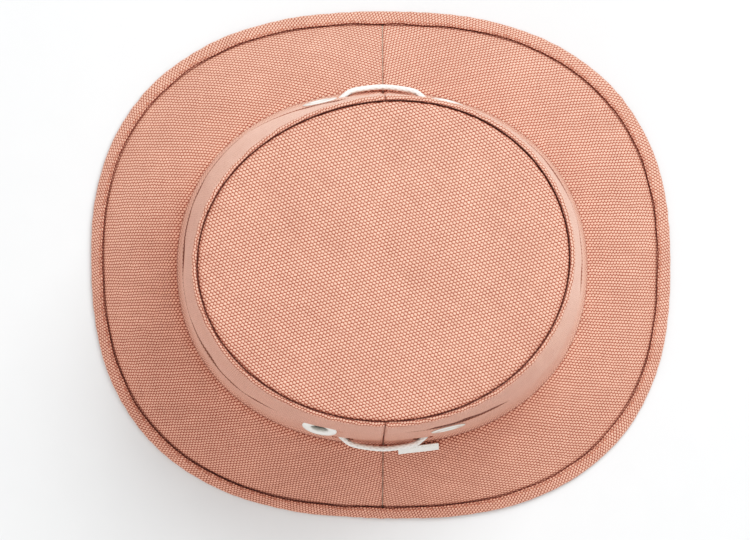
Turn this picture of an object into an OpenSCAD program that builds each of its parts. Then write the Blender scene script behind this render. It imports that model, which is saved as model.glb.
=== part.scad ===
// Bucket hat in coarse canvas: a flat oval tip on a two-panel crown wall, a
// sloping brim of two canvas layers over a stiffener, a bias binding round the
// brim's edge, four vent eyelets, a sweatband and a wind cord stowed behind it.
//
// The brim's edge stands on z = 0. +X is the back of the hat, -X the front, -Y
// the wearer's left side, which carries the label. Angles round the hat are
// measured from +X towards +Y, so the side seams lie at 90 and 270 degrees.

/* [Brim] */
// Front to back length over the binding
brim_length = 290; // [260:1:350]
// Side to side width over the binding
brim_width = 254; // [225:1:305]
// How square the brim's outline is: 2 is an ellipse
brim_square = 2.45; // [2:0.05:3]
// Height of the crown's base seam above the brim's edge, taken all round
brim_drop = 32; // [22:1:42]
// How much higher the base seam is at the front than all round
front_rise = 6; // [0:0.5:9]
// How much higher the base seam is on the wearer's left than all round
left_rise = 4; // [0:0.5:6]
// How far the whole brim lies towards the wearer's right
right_flare = 2.6; // [0:0.2:4]
// Width of the binding on each face of the brim
binding_w = 6.5; // [4:0.5:9]

/* [Crown] */
// Front to back length of the crown at its base seam
crown_length = 202; // [185:1:220]
// Side to side width of the crown at its base seam
crown_width = 174; // [158:1:190]
// Front to back length of the tip, between its seams
tip_length = 174.2; // [150:0.2:182]
// Side to side width of the tip, between its seams
tip_width = 150.2; // [128:0.2:158]
// Height of the tip seam above the base seam, taken all round
crown_height = 88; // [75:1:110]
// Rise of the tip's middle above its seam
tip_dome = 4; // [1:0.5:8]
// Radius of the rounded shoulder under the tip seam
shoulder_r = 2; // [1.8:0.1:4]
// How far the cloth hangs out over the crease
crease_out = 0.2; // [0:0.1:1.5]

/* [Cloth] */
// Thickness of the canvas
canvas_t = 0.8; // [0.6:0.1:1]
// Thickness of the brim's stiffener
stiffener_t = 0.8; // [0.5:0.1:1.4]
// Thickness of the seam tapes
tape_t = 0.5; // [0.4:0.1:0.8]
// Gap left between one layer of cloth and the next
layer_gap = 0.25; // [0.2:0.05:0.35]
// Gap between the two panels at a side seam
seam_gap = 0.3; // [0.2:0.05:0.5]

/* [Sweatband and labels] */
// How far the sweatband stands above the stowed cord's top run
band_over = 0.9; // [0.5:0.1:4]
// Thickness of the folded sweatband
band_t = 1.5; // [1:0.1:2.2]
// Width of the label tab along the base seam
tab_w = 20; // [14:1:24]
// Length of the label tab down the brim
tab_l = 4.2; // [3.6:0.2:9]
// Thickness of the label tab
tab_t = 0.7; // [0.5:0.1:1]
// Width of the care label
care_w = 22; // [16:1:28]
// Gap between the care label's two ends and the sweatband's two edges
care_inset = 2; // [1:0.5:6]

/* [Eyelets] */
// Outside diameter of the eyelet's flange
flange_d = 17; // [14:0.5:20.5]
// Bore of the eyelet
vent_d = 8; // [5:0.5:10]
// Wall thickness of the eyelet's barrel
barrel_t = 0.6; // [0.4:0.1:0.9]
// Height of the eyelets' centres above the sweatband's top edge
vent_rise = 7; // [7:0.5:12]
// Height of the soft crease above the eyelets' flanges
crease_rise = 1.5; // [1.5:0.5:8]
// Angle from the side seam to each eyelet
vent_angle = 21.5; // [20:0.5:30]

/* [Wind cord] */
// Diameter of the cord
cord_d = 2.6; // [2:0.1:3.2]
// Room to spare on each side of the cord behind the sweatband
cord_room = 0.6; // [0.5:0.05:0.8]
// How far the cord's middle bows out from the wall at a side seam
bow_out = 3.3; // [3:0.1:5]

/* [Hidden] */

// The cloth is lofted in flat steps round the hat, so layers share the same steps.
steps = 80;
step_a = 360 / steps;
seam_right = 90;
seam_left = 270;

canvas_c = [0.89, 0.66, 0.58];
under_c = [0.84, 0.60, 0.52];
lining_c = [0.93, 0.90, 0.84];
tape_c = [0.86, 0.64, 0.57];
cord_c = [0.95, 0.95, 0.92];
metal_c = [0.87, 0.88, 0.87];

brim_t = 2 * canvas_t + stiffener_t + 2 * layer_gap;
hem_r = brim_t / 2 + layer_gap + canvas_t;
// The binding's fold is pressed flat where the hat stands on it.
hem_flat = 0.35;
pocket = cord_d + 2 * cord_room;
band_out = canvas_t + pocket;
tip_z = brim_drop + crown_height;
// The cord's lowest run is this high above the base seam, and it lies in three runs.
low_h = 6;
run_rise = 4 * cord_d;
band_h = low_h + 2 * run_rise + cord_d / 2 + band_over;
vent_h = band_h + vent_rise;
crease_h = vent_h + flange_d / 2 + crease_rise;
// How far the crown wall leans in between its base seam and the crease.
waist_in = 6.4;
// How far the wall kicks out in its last few millimetres, and over what height.
base_flare = 1.6;
base_flare_h = 6;
// Height over which the cloth folds out above the crease.
crease_fold = 3.5;
// The wall turns past level at the tip seam, so the seam lies in a groove.
shoulder_lead = 0.2;
seam_groove = 0.9;

// ---------- outlines and surfaces ----------

function oval(t, l, w, n) =
    pow(pow(abs(cos(t)) / (l / 2), n) + pow(abs(sin(t)) / (w / 2), n), -1 / n);

// The brim's outline, with the slight unevenness of a hand-cut edge.
function brim_r(t) =
    oval(t, brim_length, brim_width, brim_square) * (1 - 0.004 * sin(2 * t) - 0.004 * cos(3 * t))
    + right_flare * sin(t);
function base_r(t) = oval(t, crown_length, crown_width, 2.15);
function tip_r(t) =
    oval(t, tip_length, tip_width, 2) * (1 + 0.015 * sin(2 * t) - 0.009 * cos(3 * t));
function base_z(t) = brim_drop - front_rise * cos(t) - left_rise * sin(t);

// The hat's box is centred on the origin.
outline_x = [for (i = [0:steps - 1]) brim_r(i * step_a) * cos(i * step_a)];
outline_y = [for (i = [0:steps - 1]) brim_r(i * step_a) * sin(i * step_a)];
mid_x = (max(outline_x) + min(outline_x)) / 2;
mid_y = (max(outline_y) + min(outline_y)) / 2;
function place(t, p) = [p[0] * cos(t) - mid_x, p[0] * sin(t) - mid_y, p[1]];

// A path is a list of [r, z] points in the upright plane at one angle.
function unit(v) = v / norm(v);
function side_of(path, i) =
    let (a = path[max(i - 1, 0)], b = path[min(i + 1, len(path) - 1)], d = unit(b - a))
    [d[1], -d[0]];
function shift(path, d) = [for (i = [0:len(path) - 1]) path[i] + d * side_of(path, i)];
function reverse(v) = [for (i = [len(v) - 1:-1:0]) v[i]];

// The crown wall's outer face below the crease, at height h above the base seam.
function lower_r(t, h) =
    let (s = min(1, max(0, h / base_flare_h)))
    base_r(t) - base_flare * s * (2 - s) - (waist_in - base_flare) * h / crease_h;
function crease_r(t) = base_r(t) - waist_in + crease_out;
function shoulder_c(t) = [tip_r(t) + shoulder_lead, tip_z - shoulder_r];
function upper_pt(t, s) =
    let (a = [crease_r(t), base_z(t) + crease_h + crease_fold],
         b = shoulder_c(t) + [shoulder_r, 0])
    a + (b - a) * s + [0.4 * sin(180 * s), 0];
lower_h = [0, 2, 5, 14, 26, vent_h + 2, crease_h - 2];
function wall_path(t) = concat(
    [for (h = lower_h) [lower_r(t, h), base_z(t) + h]],
    [[base_r(t) - waist_in, base_z(t) + crease_h]],
    [[crease_r(t) - 0.4 * crease_out, base_z(t) + crease_h + 0.45 * crease_fold]],
    [for (s = [0, 0.3, 0.6, 0.85]) upper_pt(t, s)],
    [for (a = [0, 20, 42, 65, 85, 105]) shoulder_c(t) + shoulder_r * [cos(a), sin(a)]]
);

// The brim's middle surface: level under the crown wall, then a slope to the hem.
function hem_c(t) = [brim_r(t) - hem_r, hem_r - hem_flat];
root_in = band_out - 0.3;
function root_z(t) = base_z(t) - layer_gap - brim_t / 2;
function brim_path(t) =
    let (a = [base_r(t) + 2, root_z(t) - 1], b = hem_c(t))
    concat(
        [[base_r(t) - root_in, root_z(t)], [base_r(t) - 0.2, root_z(t)]],
        [for (s = [0, 0.35, 0.7, 1]) a + (b - a) * s + [0, 1.2 * sin(180 * s)]]
    );
// Going outwards, shift() moves a path down, so upper layers take minus signs.
function brim_dir(t) =
    let (p = brim_path(t), n = len(p))
    unit(p[n - 1] - p[n - 2]);

// ---------- lofting ----------

// Skins closed sections made of an outer path and a reversed inner path.
module loft(sections, closed) {
    m = len(sections);
    k = len(sections[0]);
    last = closed ? m - 1 : m - 2;
    sides = [
        for (i = [0:last], j = [0:k - 1])
            let (a = i * k + j, b = i * k + (j + 1) % k,
                 c = ((i + 1) % m) * k + (j + 1) % k, d = ((i + 1) % m) * k + j)
            each [[a, b, c], [a, c, d]]
    ];
    e = (m - 1) * k;
    caps = closed ? [] : [
        for (j = [0:k / 2 - 2])
            let (q = k - 1 - j)
            each [[q, q - 1, j + 1], [q, j + 1, j],
                  [e + j, e + j + 1, e + q - 1], [e + j, e + q - 1, e + q]]
    ];
    polyhedron([for (s = sections) each s], concat(sides, caps), convexity = 8);
}

// The angles of a strip: its own two ends, and every step between them.
function strip_angles(t0, t1) = concat(
    [t0],
    [for (i = [floor(t0 / step_a) + 1:ceil(t1 / step_a) - 1]) i * step_a],
    [t1]
);
ring_angles = [for (i = [0:steps - 1]) i * step_a];
function half_angles(from) =
    let (g = seam_gap / crown_width * 180 / PI)
    strip_angles(from + g, from + 180 - g);

function section(t, outer, inner) = [for (p = concat(outer, reverse(inner))) place(t, p)];

// ---------- the cuts in the crown wall ----------

// The wall's outer face at an angle and a height, and the direction out of it.
function wall_pt(t, h) = place(t, [lower_r(t, h), base_z(t) + h]);
function wall_out(t, h) =
    unit(cross(wall_pt(t + 2, h) - wall_pt(t - 2, h), wall_pt(t, h + 4) - wall_pt(t, h - 4)));

// Turns children from standing up z to standing out of the wall.
module on_wall(t, h) {
    n = wall_out(t, h);
    translate(wall_pt(t, h))
        rotate([0, acos(n[2]), atan2(n[1], n[0])])
            children();
}

barrel_d = vent_d + 2 * barrel_t;
module vent_hole(t) {
    on_wall(t, vent_h) translate([0, 0, -6]) cylinder(h = 12, d = barrel_d + 0.4, $fn = 40);
}

// The cord goes through the wall in a buttonhole on each side of a side seam.
cord_hole_a = 13.3;
cord_hole_h = 5.9;
cord_hole_l = 11;
module cord_hole(t) {
    w = cord_d + 1.2;
    on_wall(t, cord_hole_h) translate([0, 0, -4]) linear_extrude(8) union() {
        square([w, cord_hole_l - w], center = true);
        for (s = [-1, 1]) translate([0, s * (cord_hole_l - w) / 2]) circle(d = w, $fn = 16);
    }
}

// ---------- crown ----------

// The wall's cut edge is level all the way through, where it meets the brim.
function wall_inner(t) =
    [for (p = shift(wall_path(t), -canvas_t)) [p[0], max(p[1], base_z(t))]];
module crown_wall(from) {
    color(canvas_c) difference() {
        loft([for (t = half_angles(from)) section(t, wall_path(t), wall_inner(t))], false);
        for (t = [from, from + 180], s = t == from ? 1 : -1) {
            vent_hole(t + s * vent_angle);
            cord_hole(t + s * cord_hole_a);
        }
    }
}
module crown_wall_front() { crown_wall(seam_right); }
module crown_wall_back() { crown_wall(-seam_right); }

// Height of the tip's upper face at a share of the way out to its seam.
function tip_h(f) =
    tip_z + tip_dome * (1 - f * f) - (tip_dome * 0.06 + seam_groove) * pow(f, 60);
tip_shares = [0.03, 0.25, 0.5, 0.72, 0.88, 0.96, 0.985, 1];
tip_in = 0.35;
function tip_ring(f, down) =
    [for (t = ring_angles) place(t, [(tip_r(t) - tip_in) * f, tip_h(f) - down])];
module crown_tip() {
    rings = concat(
        [for (f = tip_shares) tip_ring(f, canvas_t)],
        [for (f = reverse(tip_shares)) tip_ring(f, 0)]
    );
    n = len(rings);
    color(canvas_c) polyhedron(
        [for (r = rings) each r],
        concat(
            [for (i = [0:n - 2], j = [0:steps - 1])
                let (a = i * steps + j, b = i * steps + (j + 1) % steps)
                each [[a, a + steps, b + steps], [a, b + steps, b]]],
            [[for (j = [0:steps - 1]) j]],
            [[for (j = [steps - 1:-1:0]) (n - 1) * steps + j]]
        ),
        convexity = 6
    );
}

// Tape over the tip seam's turnings: up the shoulder and in under the tip.
tape_start = 0.85;
function under_tip(t, f) = [(tip_r(t) - tip_in) * f, tip_h(f) - canvas_t - layer_gap];
module tip_seam_tape() {
    color(tape_c) loft([for (t = ring_angles)
        let (wall = [for (s = [tape_start, 1]) upper_pt(t, s)],
             turn = [for (a = [30, 60]) shoulder_c(t) + shoulder_r * [cos(a), sin(a)]],
             p = shift(concat(wall, turn), -canvas_t - layer_gap),
             q = concat(p, [for (f = [1, 0.985, 0.94]) under_tip(t, f)]))
        section(t, q, shift(q, -tape_t))], true);
}

// Tape over a side seam, from above the sweatband to below the tip seam's tape.
seam_tape_w = 12;
module side_seam_tape(at) {
    half = seam_tape_w / crown_width * 180 / PI;
    hs = [band_h + 1.5, vent_h + 2, crease_h - 2];
    color(tape_c) loft([for (t = strip_angles(at - half, at + half))
        let (p = concat(
                [for (h = hs) [lower_r(t, h), base_z(t) + h]],
                [[base_r(t) - waist_in, base_z(t) + crease_h]],
                [[crease_r(t) - 0.4 * crease_out, base_z(t) + crease_h + 0.45 * crease_fold]],
                [for (s = [0, 0.3, 0.6, 0.78]) upper_pt(t, s)]),
             q = shift(p, -canvas_t - layer_gap))
        section(t, q, shift(q, -tape_t))], false);
}
module side_seam_tape_left() { side_seam_tape(seam_left); }
module side_seam_tape_right() { side_seam_tape(seam_right); }

// ---------- brim ----------

// A layer of the brim between two depths below its middle surface.
module brim_layer(angles, top, bottom, closed) {
    loft([for (t = angles)
        let (p = brim_path(t))
        section(t, shift(p, bottom), shift(p, top))], closed);
}
module brim_top(from) {
    up = brim_t / 2;
    color(canvas_c) brim_layer(half_angles(from), -up, -up + canvas_t, false);
}
module brim_top_front() { brim_top(seam_right); }
module brim_top_back() { brim_top(-seam_right); }
module brim_under(from) {
    down = brim_t / 2;
    color(under_c) brim_layer(half_angles(from), down - canvas_t, down, false);
}
module brim_under_front() { brim_under(seam_right); }
module brim_under_back() { brim_under(-seam_right); }
module brim_stiffener() {
    color(lining_c) brim_layer(ring_angles, -stiffener_t / 2, stiffener_t / 2, true);
}

// A bias strip folded over the hem: down the top, round the fold, up the underside.
fold_angles = [90, 50, 12, -25, -50, -75, -105];
function hem_fold(t, r) =
    let (d = brim_dir(t), n = [-d[1], d[0]], back = hem_c(t) - d * binding_w)
    concat(
        [back - n * r],
        [for (a = reverse(fold_angles)) hem_c(t) + r * (d * cos(a) + n * sin(a))],
        [back + n * r]
    );
module brim_binding() {
    color(canvas_c) loft([for (t = ring_angles)
        section(t, [for (p = hem_fold(t, hem_r)) [p[0], max(0, p[1])]],
                hem_fold(t, hem_r - canvas_t))], true);
}

// ---------- sweatband, labels ----------

module sweatband() {
    color(lining_c) loft([for (t = ring_angles)
        let (p = [for (h = [-3, 2, 5, 14, band_h])
                [lower_r(t, max(0, h)) - band_out, base_z(t) + h]])
        section(t, p, shift(p, -band_t))], true);
}

// The care label lies on the sweatband's inner face, left of the back.
care_a = 325;
care_gap = 0.5;
module care_label() {
    half = care_w / crown_length * 180 / PI;
    color(cord_c) loft([for (t = strip_angles(care_a - half, care_a + half))
        let (p = [for (h = [care_inset + 2, 14, band_h - care_inset])
                [lower_r(t, h) - band_out - band_t - care_gap, base_z(t) + h]])
        section(t, p, shift(p, -0.4))], false);
}

// The label tab lies on the brim behind the left side seam and lifts about its sewn edge.
tab_a = seam_left + 11;
tab_lift = 0.4;
// How far up the slope the tab's sewn edge lies from the brim's bend, close to the wall.
tab_up = 2.6;
// Its frame is taken from the brim's top face: along the base seam, down the slope and out.
function tab_pt(t, i) = place(t, shift(brim_path(t), -brim_t / 2)[i]);
tab_along = unit(tab_pt(tab_a + 4.5, 2) - tab_pt(tab_a - 4.5, 2));
tab_out = unit(cross(tab_pt(tab_a, 3) - tab_pt(tab_a, 2), tab_along));
tab_down = cross(tab_along, tab_out);
tab_at = tab_pt(tab_a, 2);
module label_tab() {
    color(cord_c) multmatrix([
        for (i = [0:2]) [tab_down[i], tab_along[i], tab_out[i], tab_at[i]]
    ]) translate([-tab_up, -tab_w / 2, tab_lift]) cube([tab_l, tab_w, tab_t]);
}

// ---------- eyelets ----------

flange_t = 0.7;
washer_t = 0.6;
washer_d = flange_d - 2;
// The washer is flat and the wall behind it is curved, so it stands off a little.
washer_off = canvas_t + washer_d * washer_d / (4 * crown_width) + 0.35;
module eyelet(t) {
    r0 = vent_d / 2;
    r1 = flange_d / 2;
    deep = washer_off + washer_t + 0.3;
    color(metal_c) on_wall(t, vent_h) translate([0, 0, 0.12]) rotate_extrude($fn = 48)
        polygon([[r0, -deep], [r0 + barrel_t, -deep], [r0 + barrel_t, 0], [r1, 0],
                 [r1, flange_t * 0.4], [r1 - 0.7, flange_t], [r0 + 1.4, flange_t],
                 [r0, flange_t * 0.2]]);
}
module washer(t) {
    color(metal_c) on_wall(t, vent_h) translate([0, 0, -washer_off - washer_t]) difference() {
        cylinder(h = washer_t, d = washer_d, $fn = 48);
        translate([0, 0, -1]) cylinder(h = washer_t + 2, d = barrel_d + 0.2, $fn = 48);
    }
}
module eyelet_front_left() { eyelet(seam_left - vent_angle); }
module eyelet_front_right() { eyelet(seam_right + vent_angle); }
module eyelet_back_left() { eyelet(seam_left + vent_angle); }
module eyelet_back_right() { eyelet(seam_right - vent_angle); }
module washer_front_left() { washer(seam_left - vent_angle); }
module washer_front_right() { washer(seam_right + vent_angle); }
module washer_back_left() { washer(seam_left + vent_angle); }
module washer_back_right() { washer(seam_right - vent_angle); }

// ---------- wind cord ----------

// The cord is one closed loop. A point on it is [angle, height above the base
// seam, distance out of the wall's outer face]. It shows as a bow outside each
// side seam. Its back half runs once round behind the sweatband, and its front
// half is folded there into three runs, one above the other.
cord_in = -canvas_t - pocket / 2;
// Half a bow: angle from the side seam, height, and share of the way out to the middle.
bow_half = [[-17.5, 6, 0], [-15.2, 6, 0.14], [-13, 6, 0.5], [-10.4, 5.6, 0.84], [-5.5, 3.8, 0.97]];
bow_low = 2.6;
function bow_pt(at, a, p) = [at + a, p[1], cord_in + p[2] * (bow_out - cord_in)];
function bow(at) = concat(
    [for (p = bow_half) bow_pt(at, p[0], p)],
    [[at, bow_low, bow_out]],
    [for (p = reverse(bow_half)) bow_pt(at, -p[0], p)]
);
function run(t0, t1, n, h) = [for (i = [0:n]) [t0 + (t1 - t0) * i / n, h, cord_in]];
// A half turn from one run up to the next, heading one way and coming back.
function turn(t, h, way) = [
    for (a = [-60, -20, 20, 60])
        [t + way * run_rise / 2 * cos(a) * 360 / PI / (crown_length / 2 + crown_width / 2),
         h + run_rise / 2 * (1 + sin(a)), cord_in]
];
fold_far = 232;
fold_near = 118;
cord_route = concat(
    bow(seam_right),
    run(seam_right + 28, fold_far, 12, low_h),
    turn(fold_far, low_h, 1),
    run(fold_far, fold_near + 8, 11, low_h + run_rise),
    turn(fold_near + 8, low_h + run_rise, -1),
    run(fold_near + 8, fold_far + 4, 11, low_h + 2 * run_rise),
    [[fold_far + 10, low_h + 1.75 * run_rise, cord_in], [fold_far + 14, low_h + run_rise, cord_in],
     [fold_far + 17, low_h + 0.3 * run_rise, cord_in]],
    bow(seam_left),
    run(seam_left + 27, seam_right + 360 - 27, 13, low_h)
);
function cord_pt(p) = place(p[0], [lower_r(p[0], p[1]) + p[2], base_z(p[0]) + p[1]]);
cord_sides = 8;
module wind_cord() {
    n = len(cord_route);
    pts = [for (p = cord_route) cord_pt(p)];
    rings = [for (i = [0:n - 1])
        let (t = unit(pts[(i + 1) % n] - pts[(i + n - 1) % n]),
             a = cord_route[i][0],
             out = [cos(a), sin(a), 0],
             u = unit(out - t * (out * t)),
             v = cross(t, u))
        [for (j = [0:cord_sides - 1])
            pts[i] + cord_d / 2 * (cos(j * 360 / cord_sides) * u + sin(j * 360 / cord_sides) * v)]];
    color(cord_c) loft(rings, true);
}

crown_tip();
crown_wall_front();
crown_wall_back();
tip_seam_tape();
side_seam_tape_left();
side_seam_tape_right();
brim_top_front();
brim_top_back();
brim_stiffener();
brim_under_front();
brim_under_back();
brim_binding();
sweatband();
eyelet_front_left();
eyelet_front_right();
eyelet_back_left();
eyelet_back_right();
washer_front_left();
washer_front_right();
washer_back_left();
washer_back_right();
wind_cord();
label_tab();
care_label();
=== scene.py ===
"""Visual model of a coarse canvas bucket hat, built round its packed CAD frame.

Every piece is made in mesh code from the hat's own sizes, in the frame's axes:
+X is the back of the hat, -Y the wearer's left, and the brim stands on z = 0.
Angles go round the hat from +X towards +Y, in degrees.
"""

import math

import bmesh
import bpy
import numpy as np
from bpy.props import FloatProperty, FloatVectorProperty, PointerProperty
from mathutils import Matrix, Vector


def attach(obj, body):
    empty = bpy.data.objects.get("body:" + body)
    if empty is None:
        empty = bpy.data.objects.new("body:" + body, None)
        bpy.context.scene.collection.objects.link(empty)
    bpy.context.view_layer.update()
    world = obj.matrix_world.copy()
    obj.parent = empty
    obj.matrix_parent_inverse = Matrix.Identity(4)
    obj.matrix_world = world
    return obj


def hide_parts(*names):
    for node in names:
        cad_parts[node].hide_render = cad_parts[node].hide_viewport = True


bl_info = {
    "name": "Bucket Hat",
    "version": (1, 0, 0),
    "blender": (4, 5, 0),
    "location": "View3D > Sidebar > Bucket Hat",
    "description": "Builds a canvas bucket hat with a bound brim, eyelets and a wind cord",
    "category": "Add Mesh",
}

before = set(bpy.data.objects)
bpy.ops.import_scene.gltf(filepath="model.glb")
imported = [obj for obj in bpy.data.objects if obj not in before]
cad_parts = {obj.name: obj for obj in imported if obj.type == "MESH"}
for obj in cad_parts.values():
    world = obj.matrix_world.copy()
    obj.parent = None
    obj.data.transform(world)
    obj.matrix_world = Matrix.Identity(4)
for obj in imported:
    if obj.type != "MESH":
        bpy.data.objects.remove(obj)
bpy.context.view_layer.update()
MM = 0.001
SEAM_RIGHT, SEAM_LEFT = 90.0, 270.0


def linear(colour):
    """An sRGB hex colour as linear RGBA."""
    parts = [int(colour[i : i + 2], 16) / 255 for i in (1, 3, 5)]
    return tuple(
        c / 12.92 if c <= 0.04045 else ((c + 0.055) / 1.055) ** 2.4 for c in parts
    ) + (1.0,)


# ---------- sizes and colours a user may change ----------


def length(name, text, mm):
    return FloatProperty(
        name=name, description=text, default=mm * MM, min=0, unit="LENGTH", precision=5
    )


def colour(name, text, code):
    return FloatVectorProperty(
        name=name,
        description=text,
        default=linear(code)[:3],
        min=0,
        max=1,
        size=3,
        subtype="COLOR",
    )


class HatSizes(bpy.types.PropertyGroup):
    brim_length: length("Brim length", "Front to back over the binding", 290)
    brim_width: length("Brim width", "Side to side over the binding", 254)
    brim_drop: length("Brim drop", "Height of the base seam over the brim's edge", 32)
    front_rise: length("Front rise", "How much higher the base seam is in front", 6)
    left_rise: length("Left rise", "How much higher the base seam is on the left", 4)
    right_flare: length("Right flare", "How far the brim lies to the right", 2.6)
    binding_w: length("Binding width", "Width of the binding on each face", 6.5)
    crown_length: length("Crown length", "Front to back at the base seam", 202)
    crown_width: length("Crown width", "Side to side at the base seam", 174)
    tip_length: length("Tip length", "Front to back between the tip's seams", 174.2)
    tip_width: length("Tip width", "Side to side between the tip's seams", 150.2)
    crown_height: length("Crown height", "Base seam to tip seam", 88)
    tip_dome: length("Tip dome", "Rise of the tip's middle", 4)
    shoulder_r: length("Shoulder radius", "Radius under the tip seam", 2)
    canvas_t: length("Canvas thickness", "Thickness of the canvas", 0.8)
    stiffener_t: length("Stiffener thickness", "Thickness of the brim's stiffener", 0.8)
    tape_t: length("Tape thickness", "Thickness of the seam tapes", 0.5)
    band_t: length("Sweatband thickness", "Thickness of the folded sweatband", 1.5)
    cord_d: length("Cord diameter", "Diameter of the wind cord", 2.6)
    flange_d: length("Eyelet diameter", "Outside diameter of an eyelet", 17)
    vent_d: length("Eyelet bore", "Bore of an eyelet", 8)
    tab_w: length("Label width", "Width of the label tab", 20)
    tab_l: length("Label length", "Length of the label tab down the brim", 4.2)


class HatCloth(bpy.types.PropertyGroup):
    row_pitch: length("Row pitch", "Spacing of the canvas's heavy threads", 1.4)
    pick_pitch: length("Pick pitch", "Spacing of the canvas's fine threads", 0.854)
    canvas_high: colour("Canvas, raised", "Colour on the threads' crowns", "#e7bbab")
    canvas_low: colour("Canvas, sunk", "Colour between the threads", "#833d2d")
    under_high: colour("Underside, raised", "Colour on the threads' crowns", "#e2bdae")
    under_low: colour("Underside, sunk", "Colour between the threads", "#8c5143")
    cotton: colour("Sweatband cotton", "Colour of the sweatband", "#efe7d9")
    white: colour("White", "Colour of the cord, label and eyelets", "#f8f8f5")


# ---------- the hat's shape, in millimetres ----------


def sind(a):
    return np.sin(np.radians(a))


def cosd(a):
    return np.cos(np.radians(a))


def ease(x):
    """0 below 0, 1 above 1 and smooth between."""
    x = np.clip(x, 0, 1)
    return x * x * (3 - 2 * x)


def hump(x, middle, width):
    return np.exp(-(((x - middle) / width) ** 2))


def waves(t, seed, count, low, high):
    """A smooth random wave round the hat, about -1 to 1, of low to high periods."""
    draw = np.random.default_rng(seed)
    periods = draw.integers(low, high + 1, count)
    phases = draw.uniform(0, 2 * math.pi, count)
    sizes = draw.uniform(0.5, 1, count)
    total = sum(
        a * np.sin(np.radians(t) * k + p) for a, k, p in zip(sizes, periods, phases)
    )
    return total / (1.6 * math.sqrt((sizes**2).sum() / 2))


def arcs(t, spans, soft):
    """1 inside the spans of angles round the hat, 0 outside, with soft ends."""
    total = 0
    for start, end in spans:
        middle, half = (start + end) / 2, (end - start) / 2
        away = np.abs((t - middle + 180) % 360 - 180)
        total = total + ease((half + soft / 2 - away) / soft)
    return np.clip(total, 0, 1)


def smoothed(path, times, first=0):
    """A path with its corners eased; the points before first and its ends stay."""
    path = path.copy()
    for _ in range(times):
        mid = (path[..., :-2, :] + 2 * path[..., 1:-1, :] + path[..., 2:, :]) / 4
        path[..., max(1, first) : -1, :] = mid[..., max(0, first - 1) :, :]
    return path


def shift(path, d):
    """Paths of [r, z] moved sideways by d; going out from the crown, + is down."""
    ahead = np.concatenate([path[..., 1:, :], path[..., -1:, :]], -2)
    behind = np.concatenate([path[..., :1, :], path[..., :-1, :]], -2)
    along = ahead - behind
    along /= np.maximum(np.linalg.norm(along, axis=-1, keepdims=True), 1e-9)
    side = np.stack([along[..., 1], -along[..., 0]], -1)
    return path + np.asarray(d)[..., None] * side


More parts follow.
